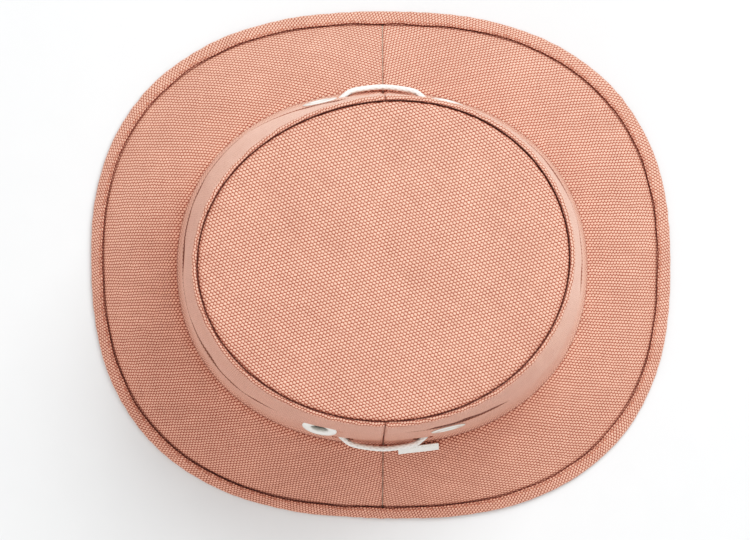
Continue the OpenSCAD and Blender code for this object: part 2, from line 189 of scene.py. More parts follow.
class Hat:
    """The surfaces of the hat. t is an angle, h a height over the base seam."""

    crease_h = 46.0
    band_h = 29.0
    vent_h = 36.0
    vent_angle = 21.5
    layer_gap = 0.25
    hem_flat = 0.35
    seam_gap = 0.3
    tip_in = 0.35
    slot_a, slot_h, slot_l = 13.3, 5.9, 11.0

    def __init__(self, sizes):
        for key in HatSizes.__annotations__:
            setattr(self, key, getattr(sizes, key) / MM)
        self.brim_t = 2 * self.canvas_t + self.stiffener_t + 2 * self.layer_gap
        self.hem_r = self.brim_t / 2 + self.layer_gap + self.canvas_t
        self.pocket = self.cord_d + 1.2
        self.band_out = self.canvas_t + self.pocket
        self.tip_z = self.brim_drop + self.crown_height
        t = np.arange(0, 360, 4.5)
        x, y = self.brim_r(t) * cosd(t), self.brim_r(t) * sind(t)
        self.mid = np.array([x.max() + x.min(), y.max() + y.min()]) / 2

    @staticmethod
    def oval(t, long, wide, n):
        a = np.abs(cosd(t)) / (long / 2)
        b = np.abs(sind(t)) / (wide / 2)
        return (a**n + b**n) ** (-1 / n)

    def brim_r(self, t):
        uneven = 1 - 0.004 * sind(2 * t) - 0.004 * cosd(3 * t)
        return self.oval(
            t, self.brim_length, self.brim_width, 2.45
        ) * uneven + self.right_flare * sind(t)

    def base_r(self, t):
        return self.oval(t, self.crown_length, self.crown_width, 2.15)

    def tip_r(self, t):
        uneven = 1 + 0.015 * sind(2 * t) - 0.009 * cosd(3 * t)
        return self.oval(t, self.tip_length, self.tip_width, 2) * uneven

    def base_z(self, t):
        return self.brim_drop - self.front_rise * cosd(t) - self.left_rise * sind(t)

    def place(self, t, path):
        """[r, z] points at the angles t, as points of the frame in metres."""
        r, z = path[..., 0], path[..., 1]
        x, y = r * cosd(t) - self.mid[0], r * sind(t) - self.mid[1]
        return np.stack([x, y, z + 0 * x], -1) * MM

    def lower_r(self, t, h):
        s = np.clip(h / 6, 0, 1)
        return self.base_r(t) - 1.6 * s * (2 - s) - 4.8 * h / self.crease_h

    # -- crown --

    def crease(self, t):
        """How sharp the wall's soft crease is at each angle, 0 to 1."""
        spans = [(98, 232), (275, 318), (350, 410)]
        return arcs(t, spans, 14) * (0.8 + 0.2 * waves(t, 5, 5, 6, 15))

    def slump(self, t):
        """How far the wall sags out at its crease."""
        return 1.6 * arcs(t, [(130, 228)], 24) + 0.8 * arcs(t, [(345, 405)], 24)

    def pucker(self, t):
        """The small gathers of cloth along the tip seam, -1 to 1."""
        return 0.65 * waves(t, 11, 9, 45, 80) + 0.5 * waves(t, 12, 6, 18, 36)

    def wall_rows(self):
        """The heights of the wall's lower rows, from the base seam to the crease."""
        return np.concatenate([[0, 0.5], np.linspace(1, self.crease_h - 2, 44)])

    def wall(self, t, h=None):
        """The wall's outer face: lower rows, crease, upper wall and shoulder."""
        if h is None:
            h = np.broadcast_to(self.wall_rows(), (len(t), len(self.wall_rows())))
        angle = t if t.ndim == 2 else t[:, None]
        angle = np.broadcast_to(angle[:, :1], (len(angle), 1))
        low_t = t if t.ndim == 2 else np.broadcast_to(angle, h.shape)
        sag = self.slump(low_t) * (h / self.crease_h) ** 2
        low = np.stack([self.lower_r(low_t, h) + sag, self.base_z(low_t) + h], -1)
        up_r = self.base_r(angle) - 6.2 + self.slump(angle) - 1.4 * self.crease(angle)
        fold_h = self.crease_h + np.linspace(-1.3, 3.2, 10)[None, :]
        fold_low = self.lower_r(angle, fold_h) + self.slump(angle) * np.minimum(fold_h / self.crease_h, 1) ** 2
        wide = 4.2 - 2.8 * self.crease(angle)
        mix = ease((fold_h - self.crease_h + 0.4 + 0.2 * wide) / wide)
        fold_r = fold_low + (up_r - fold_low) * mix
        groove = 0.4 * self.crease(angle) * hump(fold_h, self.crease_h + 0.4, 0.8)
        roll = 0.15 * self.crease(angle) * hump(fold_h, self.crease_h + 2.6, 1.2)
        fold_r = fold_r - groove + roll
        fold = np.stack([fold_r, self.base_z(angle) + fold_h], -1)
        centre_r = self.tip_r(angle) + 0.2
        centre_z = self.tip_z - self.shoulder_r
        s = np.linspace(0.02, 0.97, 30)[None, :]
        start_z = self.base_z(angle) + self.crease_h + 3.5
        upper = np.stack(
            [
                up_r + (centre_r + self.shoulder_r - up_r) * s + 0.4 * sind(180 * s),
                start_z + (centre_z - start_z) * s,
            ],
            -1,
        )
        a = np.linspace(4, 112, 22)[None, :]
        turn = np.stack(
            [
                centre_r + self.shoulder_r * cosd(a),
                centre_z + self.shoulder_r * sind(a) + 0 * centre_r,
            ],
            -1,
        )
        path = np.concatenate([low, fold, upper, turn], 1)
        path = smoothed(path, 2, h.shape[1] + 6)
        n_low, n = h.shape[1], path.shape[1]
        row = np.arange(n)[None, :]
        all_t = np.broadcast_to(angle, (len(angle), n)).copy()
        all_t[:, :n_low] = low_t
        # Distance down from the tip seam, along the shoulder and wall.
        step = np.linalg.norm(np.diff(path, axis=1), axis=-1)
        down = np.concatenate(
            [np.cumsum(step[:, ::-1], 1)[:, ::-1], np.zeros((len(path), 1))], 1
        )
        gather = self.pucker(all_t) * (0.2 * hump(down, 2.0, 2.2) + 0.1 * np.exp(-down / 9))
        upright = ease((row - n_low) / 8) * ease(down / 9)
        slack = upright * (
            0.35 * waves(all_t + 0.05 * path[..., 1], 21, 6, 5, 14)
            + 0.12 * waves(all_t - 0.12 * path[..., 1], 22, 8, 20, 44)
        )
        low_slack = 0.12 * waves(all_t + 0.1 * path[..., 1], 23, 7, 16, 40)
        low_slack = low_slack * ease(row / 6) * ease((n_low - row) / 6)
        return all_t, shift(path, gather + slack + low_slack)

    def tip_height(self, f):
        return (
            self.tip_z
            + self.tip_dome * (1 - f * f)
            - (self.tip_dome * 0.06 + 0.9) * f**60
        )

    # -- brim --

    def brim(self, t, root=0.0):
        """The brim's middle surface, from under the wall out to the hem."""
        angle = t[:, None]
        root_z = self.base_z(angle) - self.layer_gap - self.brim_t / 2
        inner = np.array([self.band_out - 0.3, 3.0, 1.8, 0.8, 0.2])[None, :]
        flat = np.stack([self.base_r(angle) - inner, root_z + 0 * inner], -1)
        s = np.linspace(0, 1, 74)[None, :]
        a_r, a_z = self.base_r(angle) + 2, root_z - 1
        b_r, b_z = self.brim_r(angle) - self.hem_r, self.hem_r - self.hem_flat
        free = sind(180 * s)
        drift = waves(angle + 3 * s, 31, 6, 3, 9) * 0.55 + waves(angle, 32, 8, 12, 30) * 0.14
        slope = np.stack(
            [a_r + (b_r - a_r) * s, a_z + (b_z - a_z) * s + (1.2 + drift) * free], -1
        )
        return smoothed(np.concatenate([flat, slope], 1), 4)

    def hem(self, t, r, edge=0.0, top_groove=0.3):
        """One face of the binding, from its lower inner edge round to its upper one."""
        path = self.brim(t)
        end, near = path[:, -1], path[:, -3]
        d = (end - near) / np.linalg.norm(end - near, axis=-1, keepdims=True)
        n = np.stack([-d[:, 1], d[:, 0]], -1)
        w = self.binding_w + edge
        flap = np.concatenate([np.linspace(1.0, 0.78, 9), np.linspace(0.7, 0.06, 9)])
        flap = flap[None, :] * w[:, None]
        away = w[:, None] - flap
        lift = r - top_groove * hump(away, 1.35, 0.42)
        ease_in = np.sqrt(np.clip(1 - (1 - np.clip(away / 0.8, 0, 1)) ** 2, 0, 1))
        lift = lift - (1 - ease_in) * min(0.75, r - self.brim_t / 2 - 0.08)
        centre = np.stack(
            [self.brim_r(t) - self.hem_r, 0 * t + self.hem_r - self.hem_flat], -1
        )
        top = centre[:, None] - d[:, None] * flap[..., None] + n[:, None] * lift[..., None]
        low = centre[:, None] - d[:, None] * flap[..., None] - n[:, None] * lift[..., None]
        a = np.linspace(-88, 88, 25)[None, :, None]
        fold = centre[:, None] + r * (d[:, None] * cosd(a) + n[:, None] * sind(a))
        return np.concatenate([low, fold, top[:, ::-1]], 1)

    def panel_uv(self, t, path, middle):
        """Places on a brim panel's flat cut, a part of a cone, in millimetres."""
        opening = 0.76
        step = np.linalg.norm(np.diff(path, axis=1), axis=-1)
        out = np.concatenate([np.zeros((len(path), 1)), np.cumsum(step, 1)], 1)
        turn = np.radians(t[:, None] - middle) * opening
        reach = self.base_r(t[:, None]) / opening + out
        return np.stack([reach * np.cos(turn), reach * np.sin(turn)], -1)

    # -- frames on the wall and the brim --

    def wall_pt(self, t, h):
        return self.place(
            t, np.stack([self.lower_r(t, h), self.base_z(t) + h], -1)
        )

    def wall_axes(self, t, h):
        """The outward, downward and sideways directions of the wall at a point."""
        across = self.wall_pt(t + 2, h) - self.wall_pt(t - 2, h)
        up = self.wall_pt(t, h + 4) - self.wall_pt(t, h - 4)
        n = np.cross(across, up)
        n /= np.linalg.norm(n)
        lean, turn = math.acos(n[2]), math.atan2(n[1], n[0])
        down = np.array(
            [
                math.cos(lean) * math.cos(turn),
                math.cos(lean) * math.sin(turn),
                -math.sin(lean),
            ]
        )
        return n, down, np.array([-math.sin(turn), math.cos(turn), 0])

    def eyelet_axis(self, angle):
        """Square to the wall, but tipped up where the wall slumps at the front left."""
        out, down, _ = self.wall_axes(angle, self.vent_h)
        tip = math.radians(
            14 * hump(angle, SEAM_LEFT - self.vent_angle, 5)
            + 7 * hump(angle, SEAM_RIGHT - self.vent_angle, 5)
            + 3 * hump(angle, SEAM_RIGHT + self.vent_angle, 5)
        )
        return out * math.cos(tip) - down * math.sin(tip), tip


def hat():
    return Hat(bpy.context.scene.hat_sizes)


def cloth():
    return bpy.context.scene.hat_cloth


# ---------- meshes ----------


def strip(start, end, step=0.5):
    """Angles of a panel, closer together near its two seams."""
    near = np.array([0, 0.12, 0.26, 0.42, 0.6, 0.85, 1.15, 1.5, 2.0])
    inner = np.arange(math.ceil((start + 2.3) / step), (end - 2.3) / step) * step
    return np.concatenate([start + near, inner, (end - near)[::-1]])


def mesh_object(name, points, faces, uvs=None, sharp=40):
    mesh = bpy.data.meshes.new(name)
    mesh.from_pydata(np.asarray(points).tolist(), [], np.asarray(faces).tolist())
    if uvs is not None:
        layer = mesh.uv_layers.new(name="cloth")
        layer.data.foreach_set("uv", np.asarray(uvs, np.float32).ravel())
    mesh.update()
    mesh.shade_smooth()
    mesh.set_sharp_from_angle(angle=math.radians(sharp))
    obj = bpy.data.objects.new(name, mesh)
    bpy.context.scene.collection.objects.link(obj)
    return obj


def shell(name, outer, inner, uv, closed, holes=None, sharp=50, seam=None):
    """A cloth between two faces, each a grid of points, with rims on all its edges.

    uv has one more row than the grid where the cloth is closed into a ring.
    holes marks the grid's cells that are cut away, and seam says how deep in a
    seam or crease each point of the outer face lies, 0 to 1.
    """
    rows, cols = outer.shape[:2]
    size = rows * cols
    last = rows if closed else rows - 1
    i, j = np.arange(last)[:, None], np.arange(cols - 1)[None, :]
    ahead = (i + 1) % rows
    corner = [(i, j), (ahead, j), (ahead, j + 1), (i, j + 1)]
    quads = np.stack([a * cols + b for a, b in corner], -1)
    flat = [(i, j), (i + 1, j), (i + 1, j + 1), (i, j + 1)]
    marks = np.stack([a * cols + b for a, b in flat], -1)
    keep = np.ones(quads.shape[:2], bool) if holes is None else ~holes
    quads, marks = quads[keep], marks[keep]
    ends, mark_ends = np.roll(quads, -1, 1), np.roll(marks, -1, 1)
    edge, back = quads * size + ends, ends * size + quads
    rim = ~np.isin(edge, back)
    v0, v1, u0, u1 = quads[rim], ends[rim], marks[rim], mark_ends[rim]
    rims = np.stack([v1, v0, v0 + size, v1 + size], -1)
    faces = np.concatenate([quads, quads[:, ::-1] + size, rims])
    uv = uv.reshape(-1, 2)
    uvs = np.concatenate(
        [uv[marks], uv[marks[:, ::-1]], uv[np.stack([u1, u0, u0, u1], -1)]]
    )
    points = np.concatenate([outer.reshape(-1, 3), inner.reshape(-1, 3)])
    used, faces = np.unique(faces, return_inverse=True)
    faces, points = faces.reshape(-1, 4), points[used]
    a, b, c, d = (points[faces[:, k]] for k in range(4))
    volume = (np.cross(b - a, c - a) * a).sum() + (np.cross(c - a, d - a) * a).sum()
    if volume < 0:
        faces, uvs = faces[:, ::-1], uvs[:, ::-1]
    obj = mesh_object(name, points, faces, uvs, sharp)
    # The seam depths become the "seam" attribute, painted as shade by the cloth material.
    if seam is not None:
        depth = np.broadcast_to(seam, (rows, cols)).ravel()
        depth = np.concatenate([depth, 0 * depth])[used]
        layer = obj.data.attributes.new("seam", "FLOAT", "POINT")
        layer.data.foreach_set("value", depth.astype(np.float32))
    return obj


def area_of(points):
    """Area of a grid of points and the lengths of its middle row and column."""
    a, b = points[1:, :-1] - points[:-1, :-1], points[:-1, 1:] - points[:-1, :-1]
    area = np.linalg.norm(np.cross(a, b), axis=-1).sum()
    row, col = points[:, points.shape[1] // 2], points[len(points) // 2]
    return (
        float(area),
        float(np.linalg.norm(np.diff(row, axis=0), axis=-1).sum()),
        float(np.linalg.norm(np.diff(col, axis=0), axis=-1).sum()),
    )


def finish_piece(obj, material, nodes=(), body="hat"):
    obj.data.materials.clear()
    obj.data.materials.append(material)
    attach(obj, body)
    if nodes:
        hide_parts(*nodes)
    return obj


def weld(obj, distance=1e-6):
    b = bmesh.new()
    b.from_mesh(obj.data)
    bmesh.ops.remove_doubles(b, verts=b.verts, dist=distance)
    b.to_mesh(obj.data)
    b.free()


# ---------- materials ----------


def add(tree, kind, settings=None, **inputs):
    """One shader or geometry node, with its settings and its inputs or links."""
    node = tree.nodes.new(kind)
    for key, value in (settings or {}).items():
        setattr(node, key, value)
    for key, value in inputs.items():
        name = int(key[1:]) if key[0] == "i" and key[1:].isdigit() else key.replace("_", " ")
        socket = node.inputs[name]
        if isinstance(value, bpy.types.NodeSocket):
            tree.links.new(value, socket)
        elif isinstance(value, bpy.types.Node):
            tree.links.new(value.outputs[0], socket)
        else:
            socket.default_value = value
    return node


def calc(tree, operation, a, b=0.0, c=0.0):
    return add(tree, "ShaderNodeMath", {"operation": operation}, i0=a, i1=b, i2=c)


def new_material(name):
    material = bpy.data.materials.new(name)
    material.use_nodes = True
    tree = material.node_tree
    tree.nodes.clear()
    shader = add(tree, "ShaderNodeBsdfPrincipled")
    out = add(tree, "ShaderNodeOutputMaterial", Surface=shader)
    out.location = (400, 0)
    return material, tree, shader


def blend_colours(tree, factor, low, high):
    def value(x):
        return x if isinstance(x, bpy.types.NodeSocket) else tuple(x)[:3] + (1,)

    mix = add(tree, "ShaderNodeMix", {"data_type": "RGBA"}, i6=value(low), i7=value(high))
    tree.links.new(factor if isinstance(factor, bpy.types.NodeSocket) else factor.outputs[0], mix.inputs[0])
    return mix.outputs[2]


def tinted(tree, base, factor, strength):
    """A colour made lighter and darker by a factor about 0.5."""
    scale = calc(tree, "MULTIPLY_ADD", factor, strength, 1 - strength / 2)
    node = add(
        tree, "ShaderNodeVectorMath", {"operation": "SCALE"}, i0=base, Scale=scale
    )
    return node.outputs[0]


def plain_weave(name, high, low, across, along, depth, rough=0.6, sheen=0.35, slub=0.1):
    """Plain-woven cloth. Threads run along u, spaced across, and along v, spaced along.

    The UV map is in millimetres. Crowns of threads are lighter than the gaps
    between them, and single threads run thick and thin, as in slubbed cotton.
    """
    material, tree, shader = new_material(name)
    uv = add(tree, "ShaderNodeUVMap", {"uv_map": "cloth"})
    drift = add(
        tree, "ShaderNodeTexNoise", None, Vector=uv, Scale=0.11, Detail=2.0, Roughness=0.5
    )
    centred = add(
        tree, "ShaderNodeVectorMath", {"operation": "SUBTRACT"}, i0=drift.outputs["Color"], i1=(0.5, 0.5, 0.5)
    )
    moved = add(
        tree,
        "ShaderNodeVectorMath",
        {"operation": "MULTIPLY_ADD"},
        i0=centred,
        i1=(0.9 * along, 0.9 * across, 0),
        i2=uv,
    )
    split = add(tree, "ShaderNodeSeparateXYZ", None, Vector=moved)
    u, v = split.outputs[0], split.outputs[1]
    pick, row = calc(tree, "DIVIDE", u, along), calc(tree, "DIVIDE", v, across)
    cos_u = calc(tree, "COSINE", calc(tree, "MULTIPLY", pick, math.pi))
    cos_v = calc(tree, "COSINE", calc(tree, "MULTIPLY", row, math.pi))
    over = calc(tree, "MULTIPLY", cos_u, cos_v)
    row_up = calc(tree, "MULTIPLY_ADD", over, 0.5, 0.5)
    ridge = calc(tree, "COSINE", calc(tree, "MULTIPLY", row, math.tau))
    # Twist leans the floats, so that they run together along one diagonal.
    lean = calc(tree, "COSINE", calc(tree, "MULTIPLY", calc(tree, "SUBTRACT", pick, row), math.pi))
    over = calc(tree, "MULTIPLY_ADD", over, 0.92, calc(tree, "MULTIPLY", lean, 0.08))
    height = calc(tree, "MULTIPLY_ADD", over, 0.36, 0.5)
    height = calc(tree, "MULTIPLY_ADD", ridge, 0.22, height)
    # One brightness for each thread, and slow slubs along it.
    row_id = calc(tree, "ROUND", row)
    pick_id = calc(tree, "ROUND", pick)
    row_at = add(
        tree, "ShaderNodeCombineXYZ", None, X=calc(tree, "MULTIPLY", u, 0.06), Y=calc(tree, "MULTIPLY", row_id, 3.7)
    )
    pick_at = add(
        tree, "ShaderNodeCombineXYZ", None, X=calc(tree, "MULTIPLY", v, 0.06), Y=calc(tree, "MULTIPLY", pick_id, 5.3), Z=40.0
    )
    row_slub = add(tree, "ShaderNodeTexNoise", None, Vector=row_at, Scale=1.0, Detail=2.0)
    pick_slub = add(tree, "ShaderNodeTexNoise", None, Vector=pick_at, Scale=1.0, Detail=2.0)
    on_top = add(
        tree, "ShaderNodeMix", {"data_type": "FLOAT"}, Factor=row_up, A=pick_slub.outputs[0], B=row_slub.outputs[0]
    )
    fibre = add(tree, "ShaderNodeTexNoise", None, Vector=uv, Scale=2.6, Detail=3.0)
    cloud = add(tree, "ShaderNodeTexNoise", None, Vector=uv, Scale=0.03, Detail=3.0)
    shade = calc(tree, "ADD", height, calc(tree, "MULTIPLY_ADD", fibre, 0.4, -0.2))
    shade = add(
        tree,
        "ShaderNodeMapRange",
        {"interpolation_type": "SMOOTHSTEP"},
        Value=shade,
        From_Min=0.14,
        From_Max=0.6,
    )
    base = blend_colours(tree, shade, low, high)
    base = tinted(tree, base, on_top.outputs[0], 5 * slub)
    base = tinted(tree, base, cloud, 0.22)
    # Painted shade: the "seam" attribute darkens seams and creases towards a dark colour, as the shade where no light
    # reaches their depths.
    painted_seam_shade = add(tree, "ShaderNodeAttribute", {"attribute_name": "seam"})
    # The painted shade's colour, far darker than the gaps between the threads.
    dark = tuple(0.16 * x for x in tuple(low)[:3])
    base = blend_colours(tree, painted_seam_shade.outputs["Fac"], base, dark)
    relief = calc(tree, "ADD", height, calc(tree, "MULTIPLY", fibre, 0.22))
    bump = add(tree, "ShaderNodeBump", None, Strength=1.0, Distance=depth * MM, Height=relief)
    tree.links.new(base, shader.inputs["Base Color"])
    tree.links.new(bump.outputs[0], shader.inputs["Normal"])
    rougher = calc(tree, "MULTIPLY_ADD", fibre, 0.2, rough - 0.1)
    tree.links.new(rougher.outputs[0], shader.inputs["Roughness"])
    shader.inputs["Sheen Weight"].default_value = sheen
    shader.inputs["Sheen Roughness"].default_value = 0.6
    shader.inputs["Sheen Tint"].default_value = tuple(0.2 + 0.8 * x for x in tuple(high)[:3]) + (1,)
    shader.inputs["Specular IOR Level"].default_value = 0.5
    return material


# Coarse plain-woven cotton canvas, piece-dyed: light raised crowns on heavy rows,
# darker gaps, matt with a faint bloom of loose fibre.
def canvas_material():
    c = cloth()
    return plain_weave(
        "coarse cotton canvas", c.canvas_high, c.canvas_low, c.row_pitch / MM, c.pick_pitch / MM, 0.3, sheen=0.9
    )


# The same canvas under the brim, a little duller where it is never bleached by light.
def under_material():
    c = cloth()
    return plain_weave(
        "cotton canvas underside", c.under_high, c.under_low, c.row_pitch / MM, c.pick_pitch / MM, 0.3
    )


# Cotton seam tape: a close weave, drawn at 0.6 mm so that it shows, nearly flat.
def tape_material():
    return plain_weave(
        "cotton seam tape", linear("#dcae9c"), linear("#a8705f"), 0.6, 0.6, 0.12, slub=0.05
    )


# Undyed cotton sateen of a sweatband: fine threads 0.45 mm apart, smooth, soft sheen.
def sweatband_material():
    c = cloth()
    low = tuple(0.72 * x for x in c.cotton)
    return plain_weave("cotton sateen", c.cotton, low, 0.45, 0.45, 0.08, 0.55, 0.2, 0.04)


# Woven polyester label satin: dense threads drawn at 0.5 mm, bright, a slight gloss.
def label_material():
    c = cloth()
    low = tuple(0.84 * x for x in c.white)
    return plain_weave("woven label satin", c.white, low, 0.5, 0.5, 0.05, 0.42, 0.1, 0.03)


# Pressed non-woven interlining: matted fibres, flat and dull.
def stiffener_material():
    material, tree, shader = new_material("nonwoven interlining")
    place = add(tree, "ShaderNodeTexCoord")
    fibres = add(
        tree, "ShaderNodeTexNoise", None, Vector=place.outputs["Object"], Scale=900.0, Detail=4.0
    )
    base = blend_colours(tree, fibres, linear("#d9d4c6"), linear("#f3efe4"))
    tree.links.new(base, shader.inputs["Base Color"])
    bump = add(tree, "ShaderNodeBump", None, Strength=0.5, Distance=0.1 * MM, Height=fibres)
    tree.links.new(bump.outputs[0], shader.inputs["Normal"])
    shader.inputs["Roughness"].default_value = 0.9
    return material


# Stamped brass eyelets under white baked enamel: smooth, glossy, with faint orange peel.
def enamel_material():
    material, tree, shader = new_material("white enamelled brass")
    place = add(tree, "ShaderNodeTexCoord")
    peel = add(
        tree, "ShaderNodeTexNoise", None, Vector=place.outputs["Object"], Scale=700.0, Detail=2.0
    )
    base = blend_colours(tree, peel, linear("#e6e6e1"), linear("#f7f7f3"))
    tree.links.new(base, shader.inputs["Base Color"])
    bump = add(tree, "ShaderNodeBump", None, Strength=0.35, Distance=0.03 * MM, Height=peel)
    tree.links.new(bump.outputs[0], shader.inputs["Normal"])
    shader.inputs["Roughness"].default_value = 0.28
    shader.inputs["Coat Weight"].default_value = 0.4
    shader.inputs["Coat Roughness"].default_value = 0.12
    return material


# Braided cotton cord: two sets of strands crossing round it, each about 1 mm wide.
def cord_material():
    material, tree, shader = new_material("braided cotton cord")
    uv = add(tree, "ShaderNodeUVMap", {"uv_map": "cloth"})
    split = add(tree, "ShaderNodeSeparateXYZ", None, Vector=uv)
    along = calc(tree, "MULTIPLY", split.outputs[0], math.tau / 3.4)
    around = calc(tree, "MULTIPLY", split.outputs[1], math.tau * 4)
    left = calc(tree, "SINE", calc(tree, "ADD", along, around))
    right = calc(tree, "SINE", calc(tree, "SUBTRACT", along, around))
    height = calc(tree, "SMOOTH_MAX", left, right, 0.3)
    fibre = add(tree, "ShaderNodeTexNoise", None, Vector=uv, Scale=3.0, Detail=3.0)
    shade = calc(tree, "MULTIPLY_ADD", height, 0.45, 0.5)
    white = cloth().white
    base = blend_colours(tree, shade, tuple(0.82 * x for x in white), white)
    relief = calc(tree, "ADD", height, calc(tree, "MULTIPLY", fibre, 0.4))
    bump = add(tree, "ShaderNodeBump", None, Strength=0.5, Distance=0.2 * MM, Height=relief)
    tree.links.new(base, shader.inputs["Base Color"])
    tree.links.new(bump.outputs[0], shader.inputs["Normal"])
    shader.inputs["Roughness"].default_value = 0.75
    shader.inputs["Sheen Weight"].default_value = 0.2
    return material


# Spun polyester sewing thread, twisted: twill-like ridges 0.4 mm apart, a dull shine.
def thread_material(name, light, dark):
    material, tree, shader = new_material(name)
    place = add(tree, "ShaderNodeTexCoord")
    twist = add(
        tree,
        "ShaderNodeTexWave",
        {"bands_direction": "DIAGONAL"},
        Vector=place.outputs["Object"],
        Scale=800.0,
        Distortion=1.0,
    )
    base = blend_colours(tree, twist.outputs["Fac"], linear(dark), linear(light))
    tree.links.new(base, shader.inputs["Base Color"])
    shader.inputs["Roughness"].default_value = 0.5
    return material


# Matt white paper sweep under the hat.
def paper_material():
    material, tree, shader = new_material("white paper sweep")
    place = add(tree, "ShaderNodeTexCoord")
    grain = add(
        tree, "ShaderNodeTexNoise", None, Vector=place.outputs["Object"], Scale=60.0, Detail=3.0
    )
    base = blend_colours(tree, grain, linear("#e4e8ea"), linear("#e7ebed"))
    tree.links.new(base, shader.inputs["Base Color"])
    shader.inputs["Roughness"].default_value = 0.9
    shader.inputs["Specular IOR Level"].default_value = 0.1
    return material


# ---------- geometry nodes ----------


def node_group(name, sockets):
    """An empty geometry tree with a Geometry input and output and named inputs."""
    group = bpy.data.node_groups.new(name, "GeometryNodeTree")
    group.interface.new_socket("Geometry", in_out="INPUT", socket_type="NodeSocketGeometry")
    for label, kind in sockets:
        group.interface.new_socket(label, in_out="INPUT", socket_type=kind)
    group.interface.new_socket("Geometry", in_out="OUTPUT", socket_type="NodeSocketGeometry")
    return group, group.nodes.new("NodeGroupInput"), group.nodes.new("NodeGroupOutput")


def baked(obj, group, values):
    """Runs a geometry tree on an object and keeps the result as its plain mesh."""
    modifier = obj.modifiers.new(group.name, "NODES")
    modifier.node_group = group
    for item in group.interface.items_tree:
        if item.in_out == "INPUT" and item.name in values:
            modifier[item.identifier] = values[item.name]
    graph = bpy.context.evaluated_depsgraph_get()
    mesh = bpy.data.meshes.new_from_object(obj.evaluated_get(graph))
    name = obj.name
    old = obj.data
    obj.modifiers.clear()
    obj.data = mesh
    bpy.data.meshes.remove(old)
    obj.data.name = name
    if not len(mesh.polygons):
        raise RuntimeError(f"{name}: the geometry tree made nothing")
    mesh.shade_smooth()
    return obj


def stitch_tree():
    """A row of stitches along every path of the input mesh."""
    name = "stitch row"
    if name in bpy.data.node_groups:
        return bpy.data.node_groups[name]
    floats = "NodeSocketFloat"
    g, given, result = node_group(
        name,
        [("Pitch", floats), ("Stitch Length", floats), ("Thickness", floats), ("Material", "NodeSocketMaterial")],
    )
    line = add(g, "GeometryNodeMeshToCurve", None, Mesh=given.outputs["Geometry"])
    points = add(
        g,
        "GeometryNodeResampleCurve",
        {"mode": "LENGTH"},
        Curve=line,
        Length=given.outputs["Pitch"],
    )
    stitch = add(g, "GeometryNodeMeshUVSphere", None, Segments=6, Rings=5, Radius=0.5)
    size = add(
        g,
        "ShaderNodeCombineXYZ",
        None,
        X=given.outputs["Thickness"],
        Y=given.outputs["Thickness"],
        Z=given.outputs["Stitch Length"],
    )
    tangent = add(g, "GeometryNodeInputTangent")
    turn = add(g, "FunctionNodeAlignRotationToVector", {"axis": "Z"}, Vector=tangent)
    placed = add(
        g,
        "GeometryNodeInstanceOnPoints",
        None,
        Points=points,
        Instance=stitch,
        Rotation=turn,
        Scale=size,
    )
    real = add(g, "GeometryNodeRealizeInstances", None, Geometry=placed)
    painted = add(
        g, "GeometryNodeSetMaterial", None, Geometry=real, Material=given.outputs["Material"]
    )
    g.links.new(painted.outputs[0], result.inputs[0])
    return g


def stitches(name, paths, pitch, stitch, thick, material, body="hat"):
    """Sews stitches along paths. Each is (points in metres, whether it closes)."""
    points, edges = [], []
    for path, closed in paths:
        start, n = len(points), len(path)
        points += np.asarray(path).tolist()
        edges += [(start + k, start + k + 1) for k in range(n - 1)]
        if closed:
            edges.append((start + n - 1, start))
    mesh = bpy.data.meshes.new(name)
    mesh.from_pydata(points, edges, [])
    obj = bpy.data.objects.new(name, mesh)
    bpy.context.scene.collection.objects.link(obj)
    values = {
        "Pitch": pitch * MM,
        "Stitch Length": stitch * MM,
        "Thickness": thick * MM,
        "Material": material,
    }
    return finish_piece(baked(obj, stitch_tree(), values), material, body=body)


def hardware_tree():
    """A turned piece set on every point of the input mesh, facing along "facing"."""
    name = "turned pieces"
    if name in bpy.data.node_groups:
        return bpy.data.node_groups[name]
    g, given, result = node_group(
        name, [("Profile", "NodeSocketObject"), ("Sides", "NodeSocketInt"), ("Material", "NodeSocketMaterial")]
    )
    profile = add(g, "GeometryNodeObjectInfo", None, Object=given.outputs["Profile"])
    facing = add(g, "GeometryNodeInputNamedAttribute", {"data_type": "FLOAT_VECTOR"}, Name="facing")
    turn = add(g, "FunctionNodeAlignRotationToVector", {"axis": "Z"}, Vector=facing.outputs[0])
    placed = add(
        g,
        "GeometryNodeInstanceOnPoints",
        None,
        Points=given.outputs["Geometry"],
        Instance=profile.outputs["Geometry"],
        Rotation=turn,
    )
    real = add(g, "GeometryNodeRealizeInstances", None, Geometry=placed)
    painted = add(
        g, "GeometryNodeSetMaterial", None, Geometry=real, Material=given.outputs["Material"]
    )
    g.links.new(painted.outputs[0], result.inputs[0])
    return g


# ---------- pieces ----------


